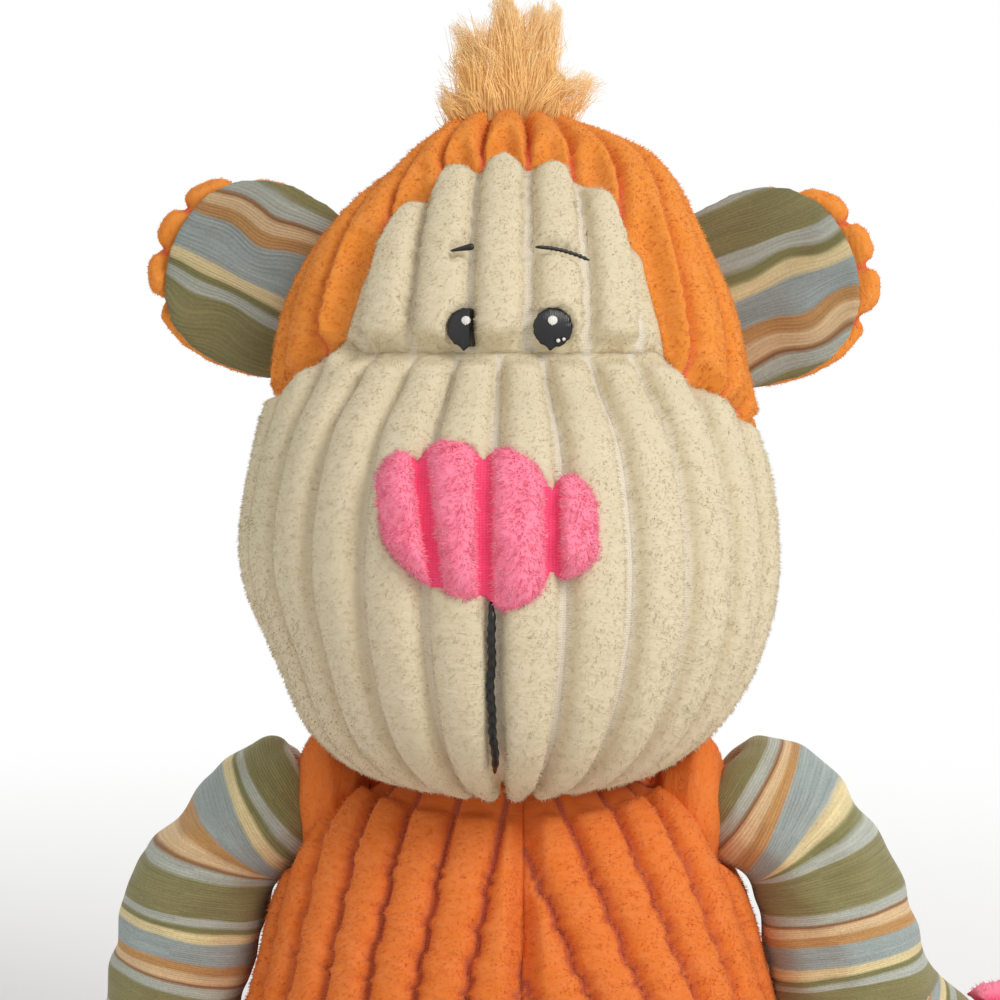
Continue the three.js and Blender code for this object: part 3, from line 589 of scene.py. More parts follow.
def corduroy(name, pile, ground, painted_glow=0.0):
    """Woven polyester corduroy: brushed pile combed into fine ridges across each rib, lighter on their tips as a
    painted highlight, and a matt knitted ground of small loops that shows in the grooves. Pink cloth is given a
    little glow of its own, as painted light."""
    material, tree, shader = new_material(name)
    rib = node(tree, "ShaderNodeAttribute", attribute_name="rib").outputs["Fac"]
    cloth = node(tree, "ShaderNodeUVMap", uv_map="cloth").outputs["UV"]
    place = node(tree, "ShaderNodeTexCoord").outputs["Object"]
    loops = node(tree, "ShaderNodeMapping", {"Vector": cloth, "Scale": (1 / 0.6, 1 / 0.5, 1)}).outputs["Vector"]
    knit = node(tree, "ShaderNodeTexVoronoi", {"Vector": loops, "Scale": 1.0, "Randomness": 0.2},
                voronoi_dimensions="2D").outputs["Distance"]
    combed = node(tree, "ShaderNodeMapping", {"Vector": cloth, "Rotation": (0, 0, 0.35),
                                              "Scale": (1 / 3.6, 1 / 1.1, 1)}).outputs["Vector"]
    ridges = node(tree, "ShaderNodeTexNoise", {"Vector": combed, "Scale": 1.0, "Detail": 2.5, "Distortion": 0.6},
                  noise_dimensions="2D").outputs["Fac"]
    mottle = node(tree, "ShaderNodeTexNoise",
                  {"Vector": place, "Scale": 1 / (6 * MM), "Detail": 3.0}).outputs["Fac"]
    both = node(tree, "ShaderNodeMath", {0: ridges, 1: mottle}, operation="ADD").outputs[0]
    # painted highlight: the brushed pile is lighter where the combed ridges stand highest, mixed with a random
    # mottle
    tips = node(tree, "ShaderNodeMapRange", {"Value": both, "From Min": 0.72, "From Max": 1.28}).outputs["Result"]
    brushed = node(tree, "ShaderNodeMix", {"Factor": tips, "A": tinted(pile, 0.95), "B": tinted(pile, 1.02)},
                   data_type="RGBA").outputs["Result"]
    floor = node(tree, "ShaderNodeMix", {"Factor": knit, "A": tinted(ground, 1.1), "B": tinted(ground, 0.82)},
                 data_type="RGBA").outputs["Result"]
    colour = node(tree, "ShaderNodeMix", {"Factor": rib, "A": floor, "B": brushed}, data_type="RGBA")
    relief = node(tree, "ShaderNodeMix", {"Factor": rib, "A": knit, "B": ridges})
    bump = node(tree, "ShaderNodeBump",
                {"Height": relief.outputs["Result"], "Strength": 0.5, "Distance": 0.5 * MM})
    tree.links.new(colour.outputs["Result"], shader.inputs["Base Color"])
    tree.links.new(bump.outputs["Normal"], shader.inputs["Normal"])
    shader.inputs["Roughness"].default_value = 0.95
    shader.inputs["Specular IOR Level"].default_value = 0.15
    shader.inputs["Sheen Weight"].default_value = 0.2
    shader.inputs["Sheen Roughness"].default_value = 0.5
    shader.inputs["Sheen Tint"].default_value = tinted(pile, 1.1)
    # painted light: the cloth's own glow, though it is no lamp
    shader.inputs["Emission Color"].default_value = tinted(ground, 1.0)
    shader.inputs["Emission Strength"].default_value = painted_glow
    return material


def pile_tones(name, colour, tints, painted_glow=0.0):
    """Brushed polyester pile: fine matt fibre with a soft sheen. Lit tips with painted light, the body of the pile
    and deep strands with painted shade are a tone each, and every tuft takes one of them."""
    tones = []
    for label, tint in zip(("tips", "pile", "deep"), tints):
        material, _, shader = new_material(f"{name} {label}")
        shader.inputs["Base Color"].default_value = tinted(colour, tint)
        shader.inputs["Roughness"].default_value = 0.85
        shader.inputs["Specular IOR Level"].default_value = 0.25
        shader.inputs["Sheen Weight"].default_value = 0.2
        shader.inputs["Sheen Roughness"].default_value = 0.4
        shader.inputs["Sheen Tint"].default_value = tinted(colour, 1.1)
        # painted light: the pile's own glow, though it is no lamp
        shader.inputs["Emission Color"].default_value = tinted(colour, 1.0)
        shader.inputs["Emission Strength"].default_value = painted_glow
        tones.append(material)
    return tones


def striped_jersey(name, start, way, painted_light_level=1.0):
    """Yarn-dyed cotton jersey: crosswise stripes of flat colour with soft edges, fine courses along the stripes.
    The painted light level makes a whole piece lighter or darker, as painted light and shade.
    """
    material, tree, shader = new_material(name)
    repeat = sum(width for width, _ in STRIPES)
    cloth = node(tree, "ShaderNodeUVMap", uv_map="cloth").outputs["UV"]
    place = node(tree, "ShaderNodeTexCoord").outputs["Object"]
    wander = node(tree, "ShaderNodeTexNoise", {"Vector": place, "Scale": 1 / (9 * MM)}).outputs["Fac"]
    up = node(tree, "ShaderNodeSeparateXYZ", {"Vector": cloth}).outputs["Y"]
    waved = node(tree, "ShaderNodeMath", {0: wander, 1: 0.7, 2: up}, operation="MULTIPLY_ADD").outputs[0]
    count = node(tree, "ShaderNodeMath", {0: waved, 1: way / repeat, 2: -way * start / repeat},
                 operation="MULTIPLY_ADD").outputs[0]
    share = node(tree, "ShaderNodeMath", {0: count}, operation="FRACT").outputs[0]
    colours = node(tree, "ShaderNodeValToRGB", {"Fac": share})
    stops = colours.color_ramp.elements
    edge = 0.0
    soft = 0.4 / repeat
    for i, (width, colour) in enumerate(STRIPES):
        begin, edge = edge + soft, edge + width / repeat
        for spot in (begin if i else 0.0, min(edge - soft, 0.999)):
            stop = stops[0] if spot == 0 else stops.new(spot)
            stop.color = (*linear(colour), 1)
    stops[-1].color = (*linear(STRIPES[0][1]), 1)
    # courses lie 0.65 mm apart, drawn about twice as coarse as the real yarn so that they show; they are darker in
    # their grooves as painted shade
    course = node(tree, "ShaderNodeMath", {0: up, 1: 2 * math.pi / 0.65}, operation="MULTIPLY").outputs[0]
    courses = node(tree, "ShaderNodeMath", {0: course}, operation="SINE").outputs[0]
    fuzz = node(tree, "ShaderNodeTexNoise",
                {"Vector": place, "Scale": 1 / (0.5 * MM), "Detail": 2.0}).outputs["Fac"]
    shade = node(tree, "ShaderNodeMapRange", {"Value": courses, "From Min": -1.0, "From Max": 1.0,
                                              "To Min": 0.94 * painted_light_level, "To Max": 1.02 * painted_light_level}).outputs["Result"]
    pulled = node(tree, "ShaderNodeMapping", {"Vector": cloth, "Scale": (1 / 18, 1 / 0.8, 1)}).outputs["Vector"]
    streaks = node(tree, "ShaderNodeTexNoise", {"Vector": pulled, "Scale": 1.0, "Detail": 3.0},
                   noise_dimensions="2D").outputs["Fac"]
    uneven = node(tree, "ShaderNodeMath", {0: fuzz, 1: streaks}, operation="ADD").outputs[0]
    patchy = node(tree, "ShaderNodeMapRange", {"Value": uneven, "From Min": 0.6, "From Max": 1.4,
                                               "To Min": 0.8, "To Max": 1.18}).outputs["Result"]
    light = node(tree, "ShaderNodeMath", {0: shade, 1: patchy}, operation="MULTIPLY").outputs[0]
    # the stripes' dye times painted light and shade
    dyed_and_shaded = node(tree, "ShaderNodeVectorMath", {0: colours.outputs["Color"], "Scale": light}, operation="SCALE")
    tree.links.new(dyed_and_shaded.outputs["Vector"], shader.inputs["Base Color"])
    relief = node(tree, "ShaderNodeMath", {0: courses, 1: fuzz}, operation="ADD").outputs[0]
    bump = node(tree, "ShaderNodeBump", {"Height": relief, "Strength": 0.45, "Distance": 0.12 * MM})
    tree.links.new(bump.outputs["Normal"], shader.inputs["Normal"])
    shader.inputs["Roughness"].default_value = 0.9
    shader.inputs["Specular IOR Level"].default_value = 0.25
    shader.inputs["Sheen Weight"].default_value = 0.2
    return material


def thread(name, colour, pitch=0.34, way=(1, 0, 0)):
    """Rayon embroidery thread: satin stitches side by side, smooth and with a clear shine along each strand,
    darker between the strands as painted shade.
    """
    material, tree, shader = new_material(name)
    place = node(tree, "ShaderNodeTexCoord").outputs["Object"]
    strand = node(tree, "ShaderNodeVectorMath", {0: place, 1: way}, operation="DOT_PRODUCT").outputs["Value"]
    turned = node(tree, "ShaderNodeMath", {0: strand, 1: 2 * math.pi / (pitch * MM)},
                  operation="MULTIPLY").outputs[0]
    row = node(tree, "ShaderNodeMath", {0: turned}, operation="SINE").outputs[0]
    shade = node(tree, "ShaderNodeMapRange", {"Value": row, "From Min": -1.0, "From Max": 1.0}).outputs["Result"]
    # painted shade: darker between the strands
    dyed_and_shaded = node(tree, "ShaderNodeMix", {"Factor": shade, "A": tinted(colour, 0.7), "B": tinted(colour, 1.0)},
                data_type="RGBA")
    bump = node(tree, "ShaderNodeBump", {"Height": row, "Strength": 0.2, "Distance": 0.1 * MM})
    tree.links.new(dyed_and_shaded.outputs["Result"], shader.inputs["Base Color"])
    tree.links.new(bump.outputs["Normal"], shader.inputs["Normal"])
    shader.inputs["Roughness"].default_value = 0.3
    return material


def floor_paper(name, colour):
    """Matt paper sweep. It fades to plain white far from the toy, so that no horizon shows."""
    material, tree, shader = new_material(name)
    place = node(tree, "ShaderNodeTexCoord").outputs["Object"]
    away = node(tree, "ShaderNodeVectorMath", {0: place}, operation="LENGTH").outputs["Value"]
    far = node(tree, "ShaderNodeMapRange", {"Value": away, "From Min": 0.25, "From Max": 0.8},
               interpolation_type="SMOOTHSTEP").outputs["Result"]
    seen = seen_directly(tree)
    share = node(tree, "ShaderNodeMath", {0: far, 1: seen}, operation="MULTIPLY").outputs[0]
    white = node(tree, "ShaderNodeEmission", {"Color": (1, 1, 1, 1), "Strength": 1.0}).outputs["Emission"]
    shader.inputs["Base Color"].default_value = (*colour, 1)
    shader.inputs["Roughness"].default_value = 0.9
    mix = node(tree, "ShaderNodeMixShader", {0: share, 1: shader.outputs["BSDF"], 2: white})
    tree.links.new(mix.outputs["Shader"], tree.nodes["Material Output"].inputs["Surface"])
    return material


MATERIALS = {}


def finishes(settings):
    """The corduroys and their piles, made once."""
    if not MATERIALS:
        for name in ("orange", "rust", "cream", "pink"):
            colour = tuple(getattr(settings, name))
            # painted light: the pink cloth and its pile glow a little
            painted_glow = 0.07 if name == "pink" else 0.0
            ground = tuple(getattr(settings, name + "_ground"))
            MATERIALS[name] = corduroy(f"{name} corduroy", colour, ground, painted_glow)
            tints = (1.14, 1.0, 0.84) if name == "pink" else (1.07, 1.0, 0.88)
            MATERIALS[name + " pile"] = pile_tones(f"{name} pile", colour, tints, painted_glow)
        MATERIALS["black"] = thread("black embroidery thread", tuple(settings.black))
        MATERIALS["white"] = thread("white embroidery thread", tuple(settings.white))
    return MATERIALS


def finish_piece(obj, name, body, replaced, material=None):
    """Names a piece, puts it on its body and hides the CAD parts that it stands for."""
    obj.name = obj.data.name = name
    if material:
        obj.data.materials.clear()
        obj.data.materials.append(material)
    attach(obj, body)
    if replaced:
        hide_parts(*replaced)
    return obj


def close_panel(panel, thickness=1.4 * MM):
    """Gives a cut panel the thickness of its ground cloth, inwards."""
    apply_modifier(panel, "SOLIDIFY", thickness=thickness, offset=-1.0, use_even_offset=False)


# Pieces


class MONKEY_OT_stage(bpy.types.Operator):
    """Floor, soft light and the camera"""

    bl_idname = "monkey.stage"
    bl_label = "Stage"

    def execute(self, context):
        stage = context.scene.stage
        bpy.ops.object.select_all(action="DESELECT")
        bpy.ops.mesh.primitive_circle_add(vertices=96, radius=6, fill_type="NGON")
        floor = context.active_object
        floor.name = "floor"
        floor.data.materials.append(floor_paper("white paper", tuple(stage.floor)))
        for name, place, size, power in (
            ("key", (0.82, -0.92, 0.9), 0.65, 9.8),
            ("fill", (-0.95, -0.8, 0.5), 0.9, 0.9),
            ("back", (0.2, 1.0, 0.9), 0.8, 5.0),
        ):
            lamp = bpy.data.lights.new(name, "AREA")
            lamp.shape, lamp.size, lamp.energy = "DISK", size, power
            obj = bpy.data.objects.new(name, lamp)
            context.scene.collection.objects.link(obj)
            obj.location = place
            way = np.array(place) - np.array((0, 0, 0.13))
            obj.rotation_euler = (math.acos(way[2] / np.linalg.norm(way)), 0, math.atan2(way[0], -way[1]))
        world = bpy.data.worlds.new("studio")
        world.use_nodes = True
        tree = world.node_tree
        seen = seen_directly(tree)
        strength = node(tree, "ShaderNodeMapRange",
                        {"Value": seen, "To Min": 0.5, "To Max": 1.0}).outputs["Result"]
        background = tree.nodes["Background"]
        background.inputs["Color"].default_value = (1, 1, 1, 1)
        tree.links.new(strength, background.inputs["Strength"])
        context.scene.world = world

        camera = bpy.data.objects.new("camera", bpy.data.cameras.new("camera"))
        context.scene.collection.objects.link(camera)
        camera.data.lens = stage.lens
        camera.data.sensor_width = 36
        camera.data.clip_start = 0.01
        distance = stage.width * stage.lens / camera.data.sensor_width
        back = np.array((math.sin(stage.turn) * math.cos(stage.rise), -math.cos(stage.turn) * math.cos(stage.rise),
                         math.sin(stage.rise)))
        camera.location = np.array(stage.middle) + back * distance
        camera.rotation_euler = (math.pi / 2 - stage.rise, 0, stage.turn)
        context.scene.camera = camera
        context.scene.view_settings.view_transform = "Standard"
        return {"FINISHED"}


def rings_of(latitude, longitude):
    """Indices of a laid ball's points, one row for each circle of latitude, from the back round by the right."""
    inside = np.flatnonzero(np.abs(latitude) < math.radians(89.9))
    levels = np.round(latitude[inside], 5)
    order = inside[np.lexsort((longitude[inside], levels))]
    return order.reshape(len(np.unique(levels)), -1)


def round_lengths(points, rings, longitude):
    """Signed distance round each circle from the front's middle, the same from the back's, and the girth."""
    places = points[rings]
    steps = np.linalg.norm(np.diff(places, axis=1), axis=2)
    length = np.concatenate([np.zeros((len(rings), 1)), np.cumsum(steps, axis=1)], axis=1)
    closing = np.linalg.norm(places[:, 0] - places[:, -1], axis=1)
    girth = length[:, -1] + closing
    front = np.abs(longitude[rings[0]]).argmin()
    front_length = length - length[:, front:front + 1]
    half = girth[:, None] / 2
    back_length = np.where(front_length > 0, front_length - half, front_length + half)
    results = []
    for values in (front_length, back_length, np.repeat(girth[:, None], rings.shape[1], axis=1)):
        flat = np.zeros(len(points))
        flat[rings] = values
        results.append(flat)
    return results


def panels_of(points, names, bonus):
    """Which CAD panel each point lies on, and how far it is from that panel's seam."""
    scores = np.stack([reach(nodes_tree(name), points) - bonus.get(name, 0) for name in names])
    order = np.sort(scores, axis=0)
    return scores, order[1] - order[0]


def face_panels(mesh, scores):
    """The panel of each face, from its corners' scores."""
    loops = read(mesh.loops, "vertex_index", 1, np.int32)
    starts = read(mesh.polygons, "loop_start", 1, np.int32)
    totals = read(mesh.polygons, "loop_total", 1, np.int32)
    return np.add.reduceat(scores[:, loops], starts, axis=1).__truediv__(totals).argmin(0)


# The seams of the nose's four puffed ribs, in millimetres from its middle: x at the top and at the bottom, then the
# outline's height at both ends of the seam
NOSE_SEAMS = np.array((
    (-23.4, -21.5, 9.0, -2.5),
    (-15.2, -10.2, 12.6, -12.0),
    (-2.0, -1.6, 13.2, -12.8),
    (11.0, 11.4, 7.6, -8.8),
    (19.6, 20.0, 4.5, -5.0),
)) * MM
# The outline's top and bottom in the middle of each rib
NOSE_CRESTS = np.array(((14.9, -8.5), (17.2, -13.6), (14.9, -15.2), (10.2, -8.8))) * MM
NOSE_RISE = 5.0 * MM
NOSE_GROOVE = 1.5 * MM  # half the bare ground at a seam
NOSE_UP = 1.8 * MM  # the patch's middle above the pad's


def nose_outline(seam):
    """Top and bottom of the nose at a place counted in seams, and the place across its rib from -1 to 1."""
    rib = np.clip(seam.astype(int), 0, len(NOSE_CRESTS) - 1)
    share = seam - rib
    place = 2 * share - 1
    ends = []
    for column in (0, 1):
        start, end = NOSE_SEAMS[rib, column + 2], NOSE_SEAMS[rib + 1, column + 2]
        arch = NOSE_CRESTS[rib, column] - (start + end) / 2
        ends.append(start + (end - start) * share + arch * (1 - np.abs(place) ** 2.4))
    return ends[0], ends[1], place


def nose_middle():
    return middle_of("nose_pad") + (0, 0, NOSE_UP)


# How the stuffed head departs from the even form: x and z of a place, radius and move, in millimetres
HEAD_MOVES = (
    ((33, 237), 15, (3.4, 0, 3.0)),
    ((-26, 236), 12, (1.8, 0, -1.2)),
    ((-51, 130), 16, (3.4, 0, 1.0)),
)
FACE_WIDER = 3.4 * MM
# How much higher than in the solid the muzzle's edge is, by x
MUZZLE_HIGHER = np.array(((-60, 2.5), (-44, 3.5), (-36, 8.4), (32, 8.4), (40, 1.0), (50, -2.0), (58, -5.0))) * MM
# The toy's right eye and brow are sewn nearer to the middle, where the middle rib stands over their inner half
SUNK_EYE_SHIFT = 3.9 * MM
SUNK_BROW = -10.4 * MM  # the outer end of that brow
MIDDLE_RIB = -5.6 * MM


class MONKEY_OT_head(bpy.types.Operator):
    """Hood, upper face and muzzle"""

    bl_idname = "monkey.head"
    bl_label = "Head"

    def execute(self, context):
        settings = context.scene.plush
        looks = finishes(settings)
        turning = nodes_tree(*BODY_COVERS, "neck_seam")
        solid = nodes_tree(*HEAD_COVERS, "head_stuffing")
        form = form_tree(stuffed_form(HEAD_COVERS, ["head_stuffing"], clear_of=turning))
        ball, latitude, longitude = start_ball(384, 176)
        centre = middle_of(*HEAD_COVERS)
        ways, across = ball_ways(latitude, longitude)
        origins = np.repeat(centre[None], len(ways), axis=0)
        flat = cast(solid, origins, ways)
        set_points(ball.data, cast(form, origins, ways))
        apply_modifier(ball, "SMOOTH", factor=0.5, iterations=3)
        points = shifted(points_of(ball.data), HEAD_MOVES)
        set_points(ball.data, points)

        front, back, girth = round_lengths(points, rings_of(latitude, longitude), longitude)
        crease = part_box("muzzle_panel")[1].z
        upper = girth[np.abs(points[:, 2] - crease) < 3 * MM].mean()
        narrow = 0.72 + 0.28 * girth / upper
        pitch = settings.rib_pitch
        ribs = {
            "hood_front": front / narrow / pitch,
            "hood_back": back / narrow / pitch + 0.5,
            "face_panel": front / narrow / pitch,
            "muzzle_panel": longitude / math.radians(15) + 0.5,
        }
        by_hood = {"face_panel": ramp(flat[:, 2], crease + 4 * MM, crease + 12 * MM),
                   "muzzle_panel": ramp(np.abs(flat[:, 0]), 32 * MM, 38 * MM)}
        bonus = {name: 1.1 * MM * np.cos(2 * np.pi * ribs[name]) * near for name, near in by_hood.items()}
        bonus["face_panel"] += FACE_WIDER * (1 - ramp(flat[:, 2], 214 * MM, 232 * MM))
        bonus["muzzle_panel"] += np.interp(flat[:, 0], *MUZZLE_HIGHER.T)
        scores, edge = panels_of(flat, HEAD_COVERS, bonus)
        panel = scores.argmin(0)
        rib = np.choose(panel, [ribs[name] for name in HEAD_COVERS])
        bare = self.stitched(flat)
        x, _, z = (flat - nose_middle()).T
        top, bottom, _ = nose_outline(np.interp(x, NOSE_SEAMS[:, :2].mean(1), np.arange(len(NOSE_SEAMS))))
        inside = np.minimum(top - z, z - bottom)
        inside = np.minimum(inside, np.minimum(x - NOSE_SEAMS[0, 0], NOSE_SEAMS[-1, 1] - x))
        bare = np.maximum(bare, ramp(inside, 1.0 * MM, 2.5 * MM) * (flat[:, 1] < centre[1]))
        bare = np.maximum(bare, 1 - ramp(reach(turning, points), 3.0 * MM, 4.0 * MM))
        hood = np.isin(panel, (0, 1))
        open_share = ramp(flat[:, 0], -18 * MM, 8 * MM) * ~hood
        share = (settings.closed_groove + (settings.groove - settings.closed_groove) * open_share) / pitch
        raise_ribs(ball, rib, across, settings, 3.4 * MM, 1.4, share, edge, bare)
        lay_map(ball.data, rib * pitch, points[:, 2])
        panels = split_panels(ball, face_panels(ball.data, scores), HEAD_COVERS)
        for seed, name in enumerate(HEAD_COVERS):
            cloth = "orange" if name.startswith("hood") else "cream"
            density = {"hood_back": 0.55, "muzzle_panel": 0.9}.get(name, 1.0)
            pile = add_pile(name, panels[name], settings, looks[cloth + " pile"], 10 + seed, density)
            finish_piece(pile, name + "_pile", "head", ())
            close_panel(panels[name])
            stands_for = [name, "head_stuffing"] if name == "hood_back" else [name]
            finish_piece(panels[name], name + "_cover", "head", stands_for, looks[cloth])
        return {"FINISHED"}

    def stitched(self, points):
        """1 where the thread of the eyes, brows and mouth holds the pile down."""
        moved = points - (SUNK_EYE_SHIFT, 0, 0)
        x = points[:, 0]
        brow = reach(nodes_tree("right_brow"), moved) + (x < SUNK_BROW) * 9 * MM
        sunk = np.minimum(reach(nodes_tree("right_eye"), moved), brow) + (x > MIDDLE_RIB) * 9 * MM
        plain = reach(nodes_tree("left_eye", "left_brow", "mouth_stitch"), points)
        return 1 - ramp(np.minimum(sunk, plain), 0.45 * MM, 0.9 * MM)


class MONKEY_OT_body(bpy.types.Operator):
    """Four body panels and the seat"""

    bl_idname = "monkey.body"
    bl_label = "Body"

    def execute(self, context):
        settings = context.scene.plush
        looks = finishes(settings)
        limbs = nodes_tree("left_sleeve", "right_sleeve", "left_leg", "right_leg", "tail_cover")
        head = nodes_tree("muzzle_panel", "hood_back", "neck_seam")
        solid = nodes_tree(*BODY_COVERS, "body_stuffing")
        clear = nodes_tree("left_sleeve", "right_sleeve", "left_leg", "right_leg", "tail_cover", "muzzle_panel",
                           "hood_back")
        form = form_tree(stuffed_form(BODY_COVERS, ["body_stuffing"], clear_of=clear))
        ball, latitude, longitude = start_ball(320, 150)
        ways, across = ball_ways(latitude, longitude)
        origins = np.repeat(np.array((0, 0, 50 * MM))[None], len(ways), axis=0)
        flat = cast(solid, origins, ways)
        set_points(ball.data, cast(form, origins, ways))
        apply_modifier(ball, "SMOOTH", factor=0.5, iterations=2)
        points = points_of(ball.data)

        front, back, _ = round_lengths(points, rings_of(latitude, longitude), longitude)
        height, pitch = points[:, 2], settings.rib_pitch
        pitch *= 0.83
        slants = {"body_front_left": 26, "body_front_right": -11, "body_back_left": -12, "body_back_right": 12}
        ribs = {"seat_panel": points[:, 0] / pitch}
        for name, slant in slants.items():
            side = front if "front" in name else back
            angle = math.radians(slant)
            ribs[name] = (side * math.cos(angle) + height * math.sin(angle)) / pitch + 0.3
        off_middle = 4.5 * MM * (1 - ramp(np.abs(flat[:, 0]), 15 * MM, 25 * MM)) * (flat[:, 1] < 0)
        scores, edge = panels_of(flat, BODY_COVERS, {"body_front_right": off_middle})
        panel = scores.argmin(0)
        rib = np.choose(panel, [ribs[name] for name in BODY_COVERS])
        near_limb = 1 - ramp(reach(limbs, points), 2.2 * MM, 3.4 * MM)
        bare = np.maximum(near_limb, 1 - ramp(reach(head, points), 3.2 * MM, 4.5 * MM))
        share = settings.closed_groove / pitch
        raise_ribs(ball, rib, across, settings, (2.6 - 1.4 * near_limb) * MM, 1.25, share, edge, bare)
        keep_above(ball, 0.4 * MM)
        lay_map(ball.data, rib * pitch, height)
        panels = split_panels(ball, face_panels(ball.data, scores), BODY_COVERS)
        for seed, name in enumerate(BODY_COVERS):
            if name != "seat_panel":
                density = 0.9 if "front" in name else 0.55
                pile = add_pile(name, panels[name], settings, looks["rust pile"], 20 + seed, density)
                keep_above(pile, 0.3 * MM)
                finish_piece(pile, name + "_pile", "torso", ())
            close_panel(panels[name])
            stands_for = [name, "body_stuffing"] if name == "seat_panel" else [name]
            finish_piece(panels[name], name + "_cover", "torso", stands_for, looks["rust"])
        return {"FINISHED"}


def keep_above(obj, level):
    points = points_of(obj.data)
    points[:, 2] = np.maximum(points[:, 2], level)
    set_points(obj.data, points)


# How the sleeves depart from the even form: x and z of a place, radius and move, in millimetres
SLEEVE_MOVES = {
    "left": (((63, 112), 12, (0, 0, 2.5)), ((90, 62), 13, (3.6, 0, 0)), ((54, 72), 12, (-1.6, 0, 0)),
             ((56, 50), 14, (-2.0, 0, 0))),
    "right": (((-76, 100), 15, (2.7, 0, -3.6)), ((-49, 78), 13, (2.4, 0, 0)), ((-53, 54), 13, (1.6, 0, 0))),
}


SLEEVE_ROOT = 44.0 * MM  # where the shoulder roll hides the sleeve's end


class MONKEY_OT_limbs(bpy.types.Operator):
    """Striped sleeves and legs, and the tail"""

    bl_idname = "monkey.limbs"
    bl_label = "Sleeves, legs and tail"

    def execute(self, context):
        settings = context.scene.plush
        looks = finishes(settings)
        for name, sign in SIDES:
            route = LEFT_ARM if sign > 0 else RIGHT_ARM
            # painted light: the sleeves' jersey is made lighter
            jersey = striped_jersey(f"{name} sleeve jersey", 7.7 if sign > 0 else 20.8, sign, 1.12)
            self.tube(name + "_sleeve", name + "_arm_stuffing", name + "_arm", route, 14, 13.5, jersey,
                      SLEEVE_MOVES[name], SLEEVE_ROOT)
            hip, ankle = (np.array(joint_of(f"{name}_{end}")["pos_m"]) / MM for end in ("hip", "ankle"))
            route = [hip + (ankle - hip) * share for share in (0, 0.33, 0.66, 1)]
            jersey = striped_jersey(f"{name} leg jersey", 12.0, sign)
            self.tube(name + "_leg", name + "_leg_stuffing", name + "_leg", route, 16.5, 14, jersey)
        self.tail(settings, looks)
        return {"FINISHED"}

    def tube(self, cover, fill, body, route, root, tip, jersey, moves=(), root_x=0.0):
        form = form_tree(stuffed_form([cover], [fill], voxel=3 * MM, puff=1.3 * MM))
        ball, latitude, longitude = start_ball(96, 150)
        origins, ways, _, length = limb_ways(latitude, longitude, route, root * MM, tip * MM, (0, 1, 0))
        set_points(ball.data, cast(form, origins, ways))
        apply_modifier(ball, "SMOOTH", factor=0.5, iterations=4)
        points = shifted(points_of(ball.data), moves)
        points[:, 0] = np.copysign(np.maximum(np.abs(points[:, 0]), root_x), points[:, 0])
        crumple = drift(points * (1, 1, 2.2), 16 * MM, len(cover))[:, 0]
        set_points(ball.data, points + normals_of(ball.data) * (0.35 * MM * crumple + 0.5 * MM)[:, None])
        keep_above(ball, 0.4 * MM)
        # below the elbow the cloth is gathered, so that the stripes lie closer
        cloth = np.interp(length, (0, 50 * MM, 130 * MM), (0, 50 * MM, 160 * MM))
        lay_map(ball.data, longitude * 15 * MM, cloth, 2 * np.pi * 15 * MM)
        finish_piece(ball, cover + "_cover", body, [cover, fill], jersey)

    def tail(self, settings, looks):
        form = form_tree(stuffed_form(["tail_cover"], ["tail_stuffing"], voxel=2.5 * MM, puff=0.8 * MM))
        ball, latitude, longitude = start_ball(96, 150)
        origins, ways, across, length = limb_ways(latitude, longitude, TAIL, 8.5 * MM, 6.5 * MM, (1, 0, 0))
        set_points(ball.data, cast(form, origins, ways))
        apply_modifier(ball, "SMOOTH", factor=0.5, iterations=4)
        raise_ribs(ball, longitude / (2 * np.pi) * 4, across, settings, 2.6 * MM, rise=0.7)
        lay_map(ball.data, longitude * 8 * MM, length, 2 * np.pi * 8 * MM)
        pile = add_pile("tail", ball, settings, looks["rust pile"], 41, 0.9, 0.9)
        keep_above(pile, 0.3 * MM)
        finish_piece(pile, "tail_pile", "tail", ())
        finish_piece(ball, "tail_skin", "tail", ["tail_cover", "tail_stuffing"], looks["rust"])


class MONKEY_OT_pads(bpy.types.Operator):
    """Hands and feet"""

    bl_idname = "monkey.pads"
    bl_label = "Hands and feet"

    def execute(self, context):
        settings = context.scene.plush
        looks = finishes(settings)
        for name, sign in SIDES:
            wrist = np.array(joint_of(name + "_wrist")["pos_m"])
            self.pad(settings, looks, name + "_hand", middle_of(name + "_hand") - wrist, (0, -1, 0),
                     nodes_tree(name + "_sleeve"), 51 + sign)
            self.pad(settings, looks, name + "_foot", (0, 0, 1), (sign * 0.24, -0.97, 0),
                     nodes_tree(name + "_leg"), 55 + sign)
        return {"FINISHED"}

    def pad(self, settings, looks, part, pole, front, limb, seed):
        fill = part + "_stuffing"
        form = form_tree(stuffed_form([part], [fill], voxel=3 * MM, puff=1.2 * MM, clear_of=limb))
        ball, latitude, longitude = start_ball(140, 70)
        ways, across = ball_ways(latitude, longitude, pole, front)
        origins = np.repeat(middle_of(part)[None], len(ways), axis=0)
        set_points(ball.data, cast(form, origins, ways))
        apply_modifier(ball, "SMOOTH", factor=0.5, iterations=3)
        points = points_of(ball.data)
        bare = 1 - ramp(reach(limb, points), 1.6 * MM, 2.6 * MM)
        raise_ribs(ball, longitude / (2 * np.pi) * 7, across, settings, (3.0 + 0.8 * bare) * MM, rise=0.9,
                   bare=bare)
        lay_map(ball.data, longitude * 14 * MM, latitude * 20 * MM, 2 * np.pi * 14 * MM)
        keep_above(ball, 0.4 * MM)
        pile = add_pile(part, ball, settings, looks["pink pile"], seed, 0.9)
        keep_above(pile, 0.3 * MM)
        finish_piece(pile, part + "_pile", part, ())
        finish_piece(ball, part + "_cover", part, [part, fill], looks["pink"])


